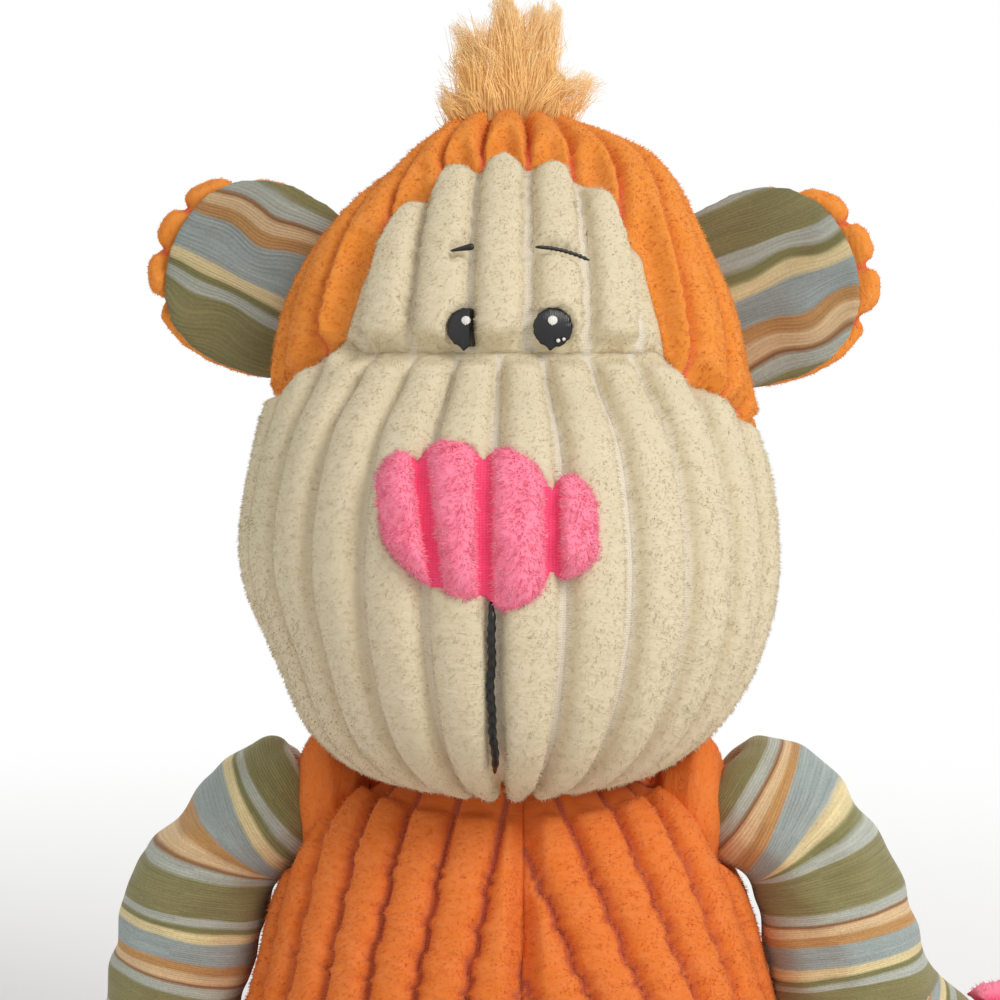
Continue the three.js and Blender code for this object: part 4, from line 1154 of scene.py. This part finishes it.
def front_bed(names, low, high):
    """A smooth sheet through CAD surfaces as they are seen from the front: its y for any x and z."""
    tree = nodes_tree(*names)
    middle, half = (low + high) / 2, (high - low) / 2
    columns, rows = (np.linspace(low[i], high[i], 25) for i in (0, 2))
    x, z = (values.ravel() for values in np.meshgrid(columns, rows))
    hits = np.array([tree.ray_cast((a, -1, b), (0, 1, 0))[0] for a, b in zip(x, z)])

    def terms(x, z):
        x, z = (x - middle[0]) / half[0], (z - middle[2]) / half[2]
        return np.stack([x ** i * z ** j for i in range(5) for j in range(5 - i)], axis=-1)

    factors = np.linalg.lstsq(terms(x, z), hits[:, 1], rcond=None)[0]
    return lambda x, z: terms(x, z) @ factors


def start_patch(columns, rows):
    """A flat square grid from -1 to 1, to be laid on a bed and seen from the front."""
    bpy.ops.object.select_all(action="DESELECT")
    bpy.ops.mesh.primitive_grid_add(x_subdivisions=columns, y_subdivisions=rows, size=2)
    bpy.ops.object.shade_smooth()
    patch = bpy.context.active_object
    across, up, _ = points_of(patch.data).T
    return patch, across, up


def node_corners(name):
    return tuple(np.array(corner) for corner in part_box(name))


class MONKEY_OT_nose(bpy.types.Operator):
    """Pink nose, a sewn-on patch of four puffed ribs"""

    bl_idname = "monkey.nose"
    bl_label = "Nose"

    def execute(self, context):
        settings = context.scene.plush
        looks = finishes(settings)
        low, high = node_corners("nose_pad")
        bed = front_bed(["muzzle_panel"], low, high)
        middle = nose_middle()
        patch, across, up = start_patch(140, 64)
        seam = (across + 1) / 2 * (len(NOSE_SEAMS) - 1)
        top, bottom, place = nose_outline(seam)
        z = (top + bottom) / 2 + up * (top - bottom) / 2
        count = np.arange(len(NOSE_SEAMS))
        high, low = (np.interp(seam, count, NOSE_SEAMS[:, column]) for column in (0, 1))
        x = low + (high - low) * (up + 1) / 2
        rib_width = np.diff(NOSE_SEAMS[:, :2].mean(1))[np.clip(seam.astype(int), 0, 3)]
        outer = (seam < 0.5) | (seam > 3.5)
        place = place / np.where(outer, 1, 1 - 2 * NOSE_GROOVE / rib_width)
        full = np.sqrt(np.clip(1 - np.abs(place) ** 2.8, 0, 1))
        puff = (0.35 + 0.65 * full) * np.sqrt(np.clip(1 - np.abs(up) ** 4, 0, 1))
        waves = drift(np.stack([x, 0 * x, z], axis=1), 9 * MM, 3)[:, 0]
        lift = NOSE_RISE * puff * (1 + 0.08 * waves)
        y = bed(x + middle[0], z + middle[2]) + 1.6 * MM - lift
        set_points(patch.data, np.stack([x + middle[0], y, z + middle[2]], axis=1))
        apply_modifier(patch, "SMOOTH", factor=0.5, iterations=2)
        mesh = patch.data
        store(mesh, "rib", ramp(1 - np.abs(place), -0.05, 0.1))
        store(mesh, "phase", place * 0.5)
        store(mesh, "across", np.repeat(np.array([[1.0, 0, 0]]), len(x), axis=0))
        store(mesh, "keep", ramp(full, 0.1, 0.5))
        lay_map(mesh, x, z)
        pile = add_pile("nose", patch, settings, looks["pink pile"], 61, 1.6, 1.4, 1.5, 1.5)
        finish_piece(pile, "nose_pile", "head", ())
        close_panel(patch, 1.5 * MM)
        finish_piece(patch, "nose_cover", "head", ["nose_pad"], looks["pink"])
        return {"FINISHED"}


# Discs of an eye and of its glints: place to the right and up, and radius, in halves of the stitched piece's size
EYE_SPOTS = ((0.0, 0.0, 0.92),)
GLINT_SPOTS = (
    ((0.0, 0.0, 0.9),),
    # the left eye's two small lower discs are painted highlights, lamp reflections laid on as white thread
    ((0.0, 0.0, 0.95), (1.1, -4.2, 0.4), (2.2, -3.9, 0.34)),
)


class MONKEY_OT_stitches(bpy.types.Operator):
    """Embroidered eyes with their glints, brows and mouth"""

    bl_idname = "monkey.stitches"
    bl_label = "Eyes, brows and mouth"

    def execute(self, context):
        looks = finishes(context.scene.plush)
        low, high = node_corners("right_brow")[0], node_corners("left_brow")[1]
        low = np.minimum(low, node_corners("right_eye")[0])
        bed = front_bed(["face_panel", "muzzle_panel"], low - 2 * MM, high + 2 * MM)
        for name, sign in SIDES:
            shift = SUNK_EYE_SHIFT if sign < 0 else 0.0
            self.discs(name + "_eye", bed, shift, 1.3 * MM, 0.9 * MM, EYE_SPOTS, looks["black"], "black_thread")
            self.discs(name + "_eye_glint", bed, shift, 0.2 * MM, 0.4 * MM, GLINT_SPOTS[sign > 0], looks["white"],
                       "white_thread")
            low, high = node_corners(name + "_brow")
            share = np.linspace(0, 1, 24)
            if sign < 0:
                x = SUNK_BROW + 0.4 * MM + (MIDDLE_RIB - SUNK_BROW) * share
                z = high[2] - 1.6 * MM + 0.9 * MM * share
                radius = (0.2 + 0.6 * share) * MM
            else:
                x = low[0] + (high[0] - low[0]) * share
                z = high[2] - 0.9 * MM - 2.6 * MM * share ** 2
                radius = (0.38 + 0.1 * np.sin(share * 70)) * MM
            self.cord(name + "_brow", np.stack([x, bed(x, z) + 0.1 * MM, z], axis=1), radius, looks["black"])
        low, high = node_corners("mouth_stitch")
        bed = front_bed(["muzzle_panel"], low - (4 * MM, 0, 0), high + (4 * MM, 0, 11 * MM))
        share = np.linspace(0, 1, 120)
        top, end = high[2] + 10 * MM, low[2] + 8 * MM
        z = top + (end - top) * share
        x = -0.6 * MM + 0.2 * MM * np.sin(share * 9) + 0.12 * MM * np.sin(share * 23)
        line = np.stack([x, bed(x, z) + 1.1 * MM, z], axis=1)
        self.cord("mouth_stitch", line, (0.8 + 0.1 * np.sin(share * 96)) * MM, looks["black"])
        return {"FINISHED"}

    def discs(self, stitch, bed, shift, depth, dome, spots, material, slot):
        """Satin-stitched discs that bulge from their bed, their rims at the given depth."""
        low, high = node_corners(stitch)
        middle, half = (low + high) / 2, (high - low) / 2
        made = []
        for right, rise, size in spots:
            patch, across, up = start_patch(36, 36)
            across, up = across * np.sqrt(1 - up ** 2 / 2), up * np.sqrt(1 - across ** 2 / 2)
            turn = np.arctan2(up, across)
            lash = 0.16 * np.exp(-((turn + 1.7) / 0.12) ** 2)
            ragged = 1 + 0.014 * np.sin(turn * 11 + 1) + 0.012 * np.sin(turn * 19) + lash
            x = middle[0] + shift + (right + across * size * ragged) * half[0]
            z = middle[2] + (rise + up * size * ragged) * half[2]
            y = bed(x, z) + depth - dome * np.sqrt(np.clip(1 - 0.95 * (across ** 2 + up ** 2), 0, 1))
            if shift:
                y += 3.5 * MM * ramp(x, MIDDLE_RIB - 0.5 * MM, MIDDLE_RIB + 0.8 * MM)
            set_points(patch.data, np.stack([x, y, z], axis=1))
            close_panel(patch, 0.6 * MM)
            made.append(patch)
        pick(*made)
        if len(made) > 1:
            bpy.ops.object.join()
        finish_piece(made[0], stitch + "_thread", "head", [stitch], material)

    def cord(self, stitch, line, radius, material):
        """A line of short stitches, thicker in the middle of each."""
        tangents = unit(np.gradient(line, axis=0))
        first = unit(np.cross(tangents, (0, 1.0, 0)))
        second = np.cross(tangents, first)
        taper = np.sqrt(np.clip(1 - np.abs(np.linspace(-1, 1, len(line))) ** 9, 0.05, 1))
        turns = np.arange(10) * 2 * np.pi / 10
        ring = np.cos(turns)[:, None, None] * first + np.sin(turns)[:, None, None] * second
        rings = (line + ring * (radius * taper)[:, None]).transpose(1, 0, 2)
        tube = mesh_object(stitch, *closed_tube(rings))
        finish_piece(tube, stitch + "_thread", "head", [stitch], material)


def closed_tube(rings):
    """Points and triangles of a tube through rings of points, closed by a point at each end."""
    count, sides = rings.shape[:2]
    points = np.vstack([rings.reshape(-1, 3), rings[0].mean(0), rings[-1].mean(0)])
    ring, side = (values.ravel() for values in np.meshgrid(np.arange(count - 1), np.arange(sides), indexing="ij"))
    a, b = ring * sides + side, ring * sides + (side + 1) % sides
    c, d = a + sides, b + sides
    ends = np.arange(sides)
    after = (ends + 1) % sides
    last = (count - 1) * sides
    start = np.stack([np.full(sides, count * sides), after, ends], axis=1)
    end = np.stack([np.full(sides, count * sides + 1), last + ends, last + after], axis=1)
    return points, np.vstack([np.stack([a, b, d], axis=1), np.stack([a, d, c], axis=1), start, end])


# Turn of each ear against the solid, in degrees, and its move in millimetres
EAR_TURN = {"left": -5.0, "right": 9.0}
EAR_MOVE = {"left": (0.0, 0.0, 0.0), "right": (-0.5, 0.0, 1.5)}
EAR_TILT = 16.0
EAR_STRETCH = 4.5 * MM  # how far the root reaches back to the hood


class MONKEY_OT_ears(bpy.types.Operator):
    """Ears with a striped front and a ribbed orange back"""

    bl_idname = "monkey.ears"
    bl_label = "Ears"

    def execute(self, context):
        settings = context.scene.plush
        looks = finishes(settings)
        for name, sign in SIDES:
            tilt = math.radians(EAR_TILT)
            outward = np.array((sign * math.cos(tilt), 0, math.sin(tilt)))
            down = np.array((sign * math.sin(tilt), 0, -math.cos(tilt)))
            self.front(name, sign, outward, down)
            self.back(name, sign, outward, down, settings, looks)
        return {"FINISHED"}

    def shape(self, part, voxel):
        form = joined_copy([part])
        apply_modifier(form, "REMESH", mode="VOXEL", voxel_size=voxel)
        apply_modifier(form, "SMOOTH", factor=0.5, iterations=4)
        pick(form)
        bpy.ops.object.shade_smooth()
        return form

    def place(self, form, name, outward, length, stretch):
        """Draws the root back to the hood and turns the ear to where it is sewn."""
        points = points_of(form.data) - outward * (stretch * ramp(-length, 5 * MM, 15 * MM))[:, None]
        root = np.array(joint_of(name + "_ear_fold")["pos_m"])
        turn = math.radians(EAR_TURN[name])
        x, y, z = (points - root).T
        cosine, sine = math.cos(turn), math.sin(turn)
        turned = np.stack([x * cosine + z * sine, y, z * cosine - x * sine], axis=1)
        set_points(form.data, root + turned + np.array(EAR_MOVE[name]) * MM)

    def front(self, name, sign, outward, down):
        part = name + "_ear_front"
        form = self.shape(part, 0.8 * MM)
        points = points_of(form.data)
        middle = middle_of(part)
        length, width = (points - middle) @ outward, (points - middle) @ down
        rumple = drift(points * (1, 0.2, 1), 15 * MM, 70 + sign)[:, 0]
        crease = np.exp(-((width + 0.25 * length + 3 * MM) / (2.2 * MM)) ** 2)
        crease = crease * ramp(12 * MM - np.abs(length), 0, 6 * MM)
        wave = np.sin(length / (6 * MM) + width / (30 * MM) + sign)
        move = 0.55 * MM * rumple + 0.5 * MM * wave - 1.0 * MM * crease
        points = points + np.array((0, -1, 0)) * move[:, None] + down * 0.2 * width[:, None]
        set_points(form.data, points - outward * 1.2 * MM)
        self.place(form, name, outward, length, EAR_STRETCH)
        lay_map(form.data, length, width + (17.5 - 0.8 * rumple) * MM)
        # painted shade: the ears' jersey is made darker
        jersey = striped_jersey(name + " ear jersey", 25.1 if sign < 0 else 9.9, -sign, 0.8)
        finish_piece(form, part + "_cover", name + "_ear", [part], jersey)

    def back(self, name, sign, outward, down, settings, looks):
        part = name + "_ear_back"
        form = self.shape(part, 1.1 * MM)
        points, middle = points_of(form.data), middle_of(part)
        length, width = (points - middle) @ outward, (points - middle) @ down
        across = np.repeat(down[None], len(points), axis=0)
        front = nodes_tree(name + "_ear_front")
        bare = 1 - ramp(reach(front, points), 0.5 * MM, 1.0 * MM)
        pitch = 10.5 * MM
        raise_ribs(form, width / pitch + 0.25, across, settings, 1.2 * MM, 0.9, settings.closed_groove / pitch,
                   bare=bare)
        self.place(form, name, outward, length, 0.4 * EAR_STRETCH)
        lay_map(form.data, width, length)
        pile = add_pile(part, form, settings, looks["orange pile"], 75 + sign, 1.0, 0.75)
        finish_piece(pile, part + "_pile", name + "_ear", ())
        finish_piece(form, part + "_cover", name + "_ear", [part], looks["orange"])


# The locks of the hair: where each one ends, in millimetres, and its share of the strands
LOCKS = (
    ((-1.4, -8, 272.2), 0.20),
    ((3.4, -7, 271.5), 0.05),
    ((6.8, -7, 268.0), 0.12),
    ((10.2, -8, 269.3), 0.07),
    ((-10.8, -9, 264.6), 0.15),
    ((-7.2, -10, 264.0), 0.08),
    ((13.0, -9, 256.0), 0.12),
    ((18.5, -9, 253.6), 0.04),
    ((-14.8, -9, 251.0), 0.09),
    ((1.0, 1, 264.0), 0.08),
)
STRANDS = 4400


class MONKEY_OT_hair(bpy.types.Operator):
    """Tuft of fur on the crown"""

    bl_idname = "monkey.hair"
    bl_label = "Hair"

    def execute(self, context):
        settings = context.scene.plush
        random = np.random.default_rng(81)
        ends = np.array([end for end, _ in LOCKS]) * MM
        lock = random.choice(len(LOCKS), STRANDS, p=np.array([share for _, share in LOCKS]))
        middle = middle_of("hair_tuft")
        radius = np.sqrt(random.random((STRANDS, 1)))
        turn = random.uniform(0, 2 * np.pi, STRANDS)
        ring = np.stack([np.cos(turn), np.sin(turn)], axis=1) * radius
        toward = middle[:2] + (ends[lock, :2] - middle[:2]) * 0.7
        root = self.crown((middle[:2] + ring * (10 * MM, 8 * MM)) * 0.5 + (toward + ring * (5 * MM, 5 * MM)) * 0.5)
        stray = random.normal(size=(STRANDS, 3))
        reach_out = random.uniform(0.6, 1.0, (STRANDS, 1))
        end = root + (ends[lock] - root) * reach_out + stray * (1.3 - reach_out) * 2.2 * MM
        bend = (root + end) / 2 + (0, 0, 2.5 * MM) + drift(root, 7 * MM, 82) * 1.6 * MM
        share = np.linspace(0, 1, 5)[:, None, None]
        line = (1 - share) ** 2 * root + 2 * share * (1 - share) * bend + share ** 2 * end
        line = line + drift(line.reshape(-1, 3), 5 * MM, 83).reshape(line.shape) * share * 1.5 * MM
        way = unit(end - root)
        first = unit(np.cross(way, random.normal(size=(STRANDS, 3))))
        second = np.cross(way, first)
        wide = 0.15 * MM * (1 - 0.75 * share)
        rings = np.stack([line + wide * (math.cos(a) * first + math.sin(a) * second) for a in THIRDS], axis=2)
        shapes = [closed_tube(rings[:, i]) for i in range(STRANDS)] + self.cores(ends, middle)
        # painted shade and light: each strand and each core is darker at its root and lighter towards its tip, with
        # random patches
        patchy = 0.2 * random.random(STRANDS) + 0.15 * drift(root, 4 * MM, 84)[:, 0]
        low_down = [1 - faces.min(1) // 3 / 3 + more for (_, faces), more in zip(shapes, patchy)]
        low_down += [1 - faces.min(1) // 10 / 10 for _, faces in shapes[STRANDS:]]
        tone = np.searchsorted((0.4, 0.85), np.concatenate(low_down))
        starts = np.cumsum([0] + [len(points) for points, _ in shapes])
        points = np.vstack([points for points, _ in shapes])
        faces = np.vstack([faces + start for start, (_, faces) in zip(starts, shapes)])
        hair = mesh_object("hair", points, faces, tone)
        # painted light: the fur glows a little, in place of light coming through its strands
        for material in pile_tones("honey fur", tuple(settings.fur), (1.15, 1.0, 0.85), 0.1):
            hair.data.materials.append(material)
        finish_piece(hair, "hair_tuft_fur", "head", ["hair_tuft"])
        return {"FINISHED"}

    def crown(self, places):
        """Roots a little below the crown, under the given places."""
        crown = nodes_tree("hood_front", "hood_back", "head_stuffing")
        root = np.array([crown.ray_cast((x, y, 0.4), (0, 0, -1))[0] for x, y in places])
        return root - (0, 0, 2 * MM)

    def cores(self, ends, middle):
        """The dense underfur of each lock, which keeps the light from coming through."""
        roots = self.crown(middle[:2] + (ends[:, :2] - middle[:2]) * 0.5)
        share = np.linspace(0, 1, 12)[:, None, None]
        turns = np.arange(10) * 2 * np.pi / 10
        ring = np.stack([np.cos(turns), np.sin(turns), 0 * turns], axis=1)
        made = []
        for root, end, (_, part) in zip(roots, ends, LOCKS):
            line = root + (end - root) * 0.85 * share + (0, 0, 2 * MM) * share * (1 - share)
            made.append(closed_tube(line + ring * 8.5 * MM * math.sqrt(part) * (1 - 0.9 * share)))
        return made


ROLL_OUT = -0.4 * MM  # the shoulder roll's middle beyond the seam's
ROLL_HALF = np.array((8.0, 13.5, 15.6)) * MM
HEAD_ROOM = 0.3 * MM  # between a shoulder roll and the head
HEAD_FOOT = 100 * MM  # below this height there is no head


def swing(joint, degrees):
    """The move that a joint makes from rest."""
    pivot = Matrix.Translation(joint["pos_m"])
    return np.array(pivot @ Matrix.Rotation(math.radians(degrees), 4, joint["axis"]) @ pivot.inverted())


def moved(points, pose):
    return points @ pose[:3, :3].T + pose[:3, 3]


def way_out(tree, points, ways, room, far=30 * MM):
    """How far each point goes along its way until it is clear of the tree by a room."""
    gaps = [tree.ray_cast((point + way * far).tolist(), (-way).tolist(), far + room)[3]
            for point, way in zip(points, ways)]
    return np.array([0.0 if gap is None else far + room - gap for gap in gaps])


def pressed_by_head(points, arm_swing):
    """Soft cloth gives way to the head, wherever the arm swings."""
    covers = tree_of(bpy.data.objects["muzzle_panel_cover"], bpy.data.objects["hood_back_cover"])
    centre = middle_of("head_stuffing")
    for degrees in np.linspace(*arm_swing["range_deg"], 13):
        pose = swing(arm_swing, degrees)
        points = moved(points, pose)
        near = np.flatnonzero(points[:, 2] > HEAD_FOOT)
        ways = unit(points[near] - centre)
        points[near] += ways * way_out(covers, points[near], ways, HEAD_ROOM)[:, None]
        points = moved(points, np.linalg.inv(pose))
    return points


class MONKEY_OT_folds(bpy.types.Operator):
    """Gathered seam cloth at the neck and shoulders"""

    bl_idname = "monkey.folds"
    bl_label = "Neck and shoulder folds"

    def execute(self, context):
        settings = context.scene.plush
        looks = finishes(settings)
        form = joined_copy(["neck_seam"])
        apply_modifier(form, "REMESH", mode="VOXEL", voxel_size=1.0 * MM)
        apply_modifier(form, "SMOOTH", factor=0.5, iterations=3)
        pick(form)
        bpy.ops.object.shade_smooth()
        points = points_of(form.data)
        gather = drift(points, 5 * MM, 90)[:, 0]
        set_points(form.data, points + normals_of(form.data) * (0.2 * MM * gather - 0.15 * MM)[:, None])
        raise_ribs(form, 0 * gather, np.repeat([[0, 0, 1.0]], len(points), axis=0), settings, settings.rib_rise)
        lay_map(form.data, points[:, 0] + points[:, 1], points[:, 2])
        pile = add_pile("neck_seam", form, settings, looks["rust pile"], 93, 0.8, 0.8)
        finish_piece(pile, "neck_seam_pile", "neck", ())
        finish_piece(form, "neck_seam_cloth", "neck", ["neck_seam"], looks["rust"])
        for name, sign in SIDES:
            self.roll(name, sign, settings, looks)
        return {"FINISHED"}

    def roll(self, name, sign, settings, looks):
        """The plump end of the body's plush, gathered round the arm."""
        fold = name + "_shoulder_seam"
        low, high = node_corners(fold)
        ball, latitude, longitude = start_ball(110, 50)
        ways, across = ball_ways(latitude, longitude, (sign, 0, 0), (0, -1, 0))
        ways = np.sign(ways) * np.abs(ways) ** (0.75, 1, 1)
        middle = (low + high) / 2 + (sign * ROLL_OUT, 0, 0)
        set_points(ball.data, middle + ways * ROLL_HALF)
        raise_ribs(ball, 0 * longitude, across, settings, settings.rib_rise)
        set_points(ball.data, pressed_by_head(points_of(ball.data), joint_of(name + "_arm_swing")))
        apply_modifier(ball, "SMOOTH", factor=0.5, iterations=6)
        lay_map(ball.data, longitude * 12 * MM, latitude * 6 * MM, 2 * np.pi * 12 * MM)
        pile = add_pile(fold, ball, settings, looks["rust pile"], 95 + sign, 0.8, 0.8)
        finish_piece(pile, fold + "_pile", name + "_shoulder", ())
        finish_piece(ball, fold + "_cloth", name + "_shoulder", [fold], looks["rust"])


class MONKEY_PT_pieces(bpy.types.Panel):
    """Lists the pieces and their settings"""

    bl_label = "Plush monkey"
    bl_space_type = "VIEW_3D"
    bl_region_type = "UI"
    bl_category = "Monkey"

    def draw(self, context):
        for operator in PIECES:
            self.layout.operator(operator.bl_idname)
        for group in (context.scene.plush, context.scene.stage):
            for name in group.__annotations__:
                self.layout.prop(group, name)


PIECES = (
    MONKEY_OT_stage, MONKEY_OT_head, MONKEY_OT_nose, MONKEY_OT_stitches, MONKEY_OT_ears, MONKEY_OT_hair,
    MONKEY_OT_body, MONKEY_OT_limbs, MONKEY_OT_pads, MONKEY_OT_folds,
)
CLASSES = (PlushSettings, StageSettings, *PIECES, MONKEY_PT_pieces)


def register():
    for kind in CLASSES:
        bpy.utils.register_class(kind)
    bpy.types.Scene.plush = bpy.props.PointerProperty(type=PlushSettings)
    bpy.types.Scene.stage = bpy.props.PointerProperty(type=StageSettings)


def unregister():
    del bpy.types.Scene.stage
    del bpy.types.Scene.plush
    for kind in reversed(CLASSES):
        bpy.utils.unregister_class(kind)


def main():
    register()
    for operator in PIECES:
        family, name = operator.bl_idname.split(".")
        getattr(getattr(bpy.ops, family), name)()


if __name__ == "__main__":
    main()
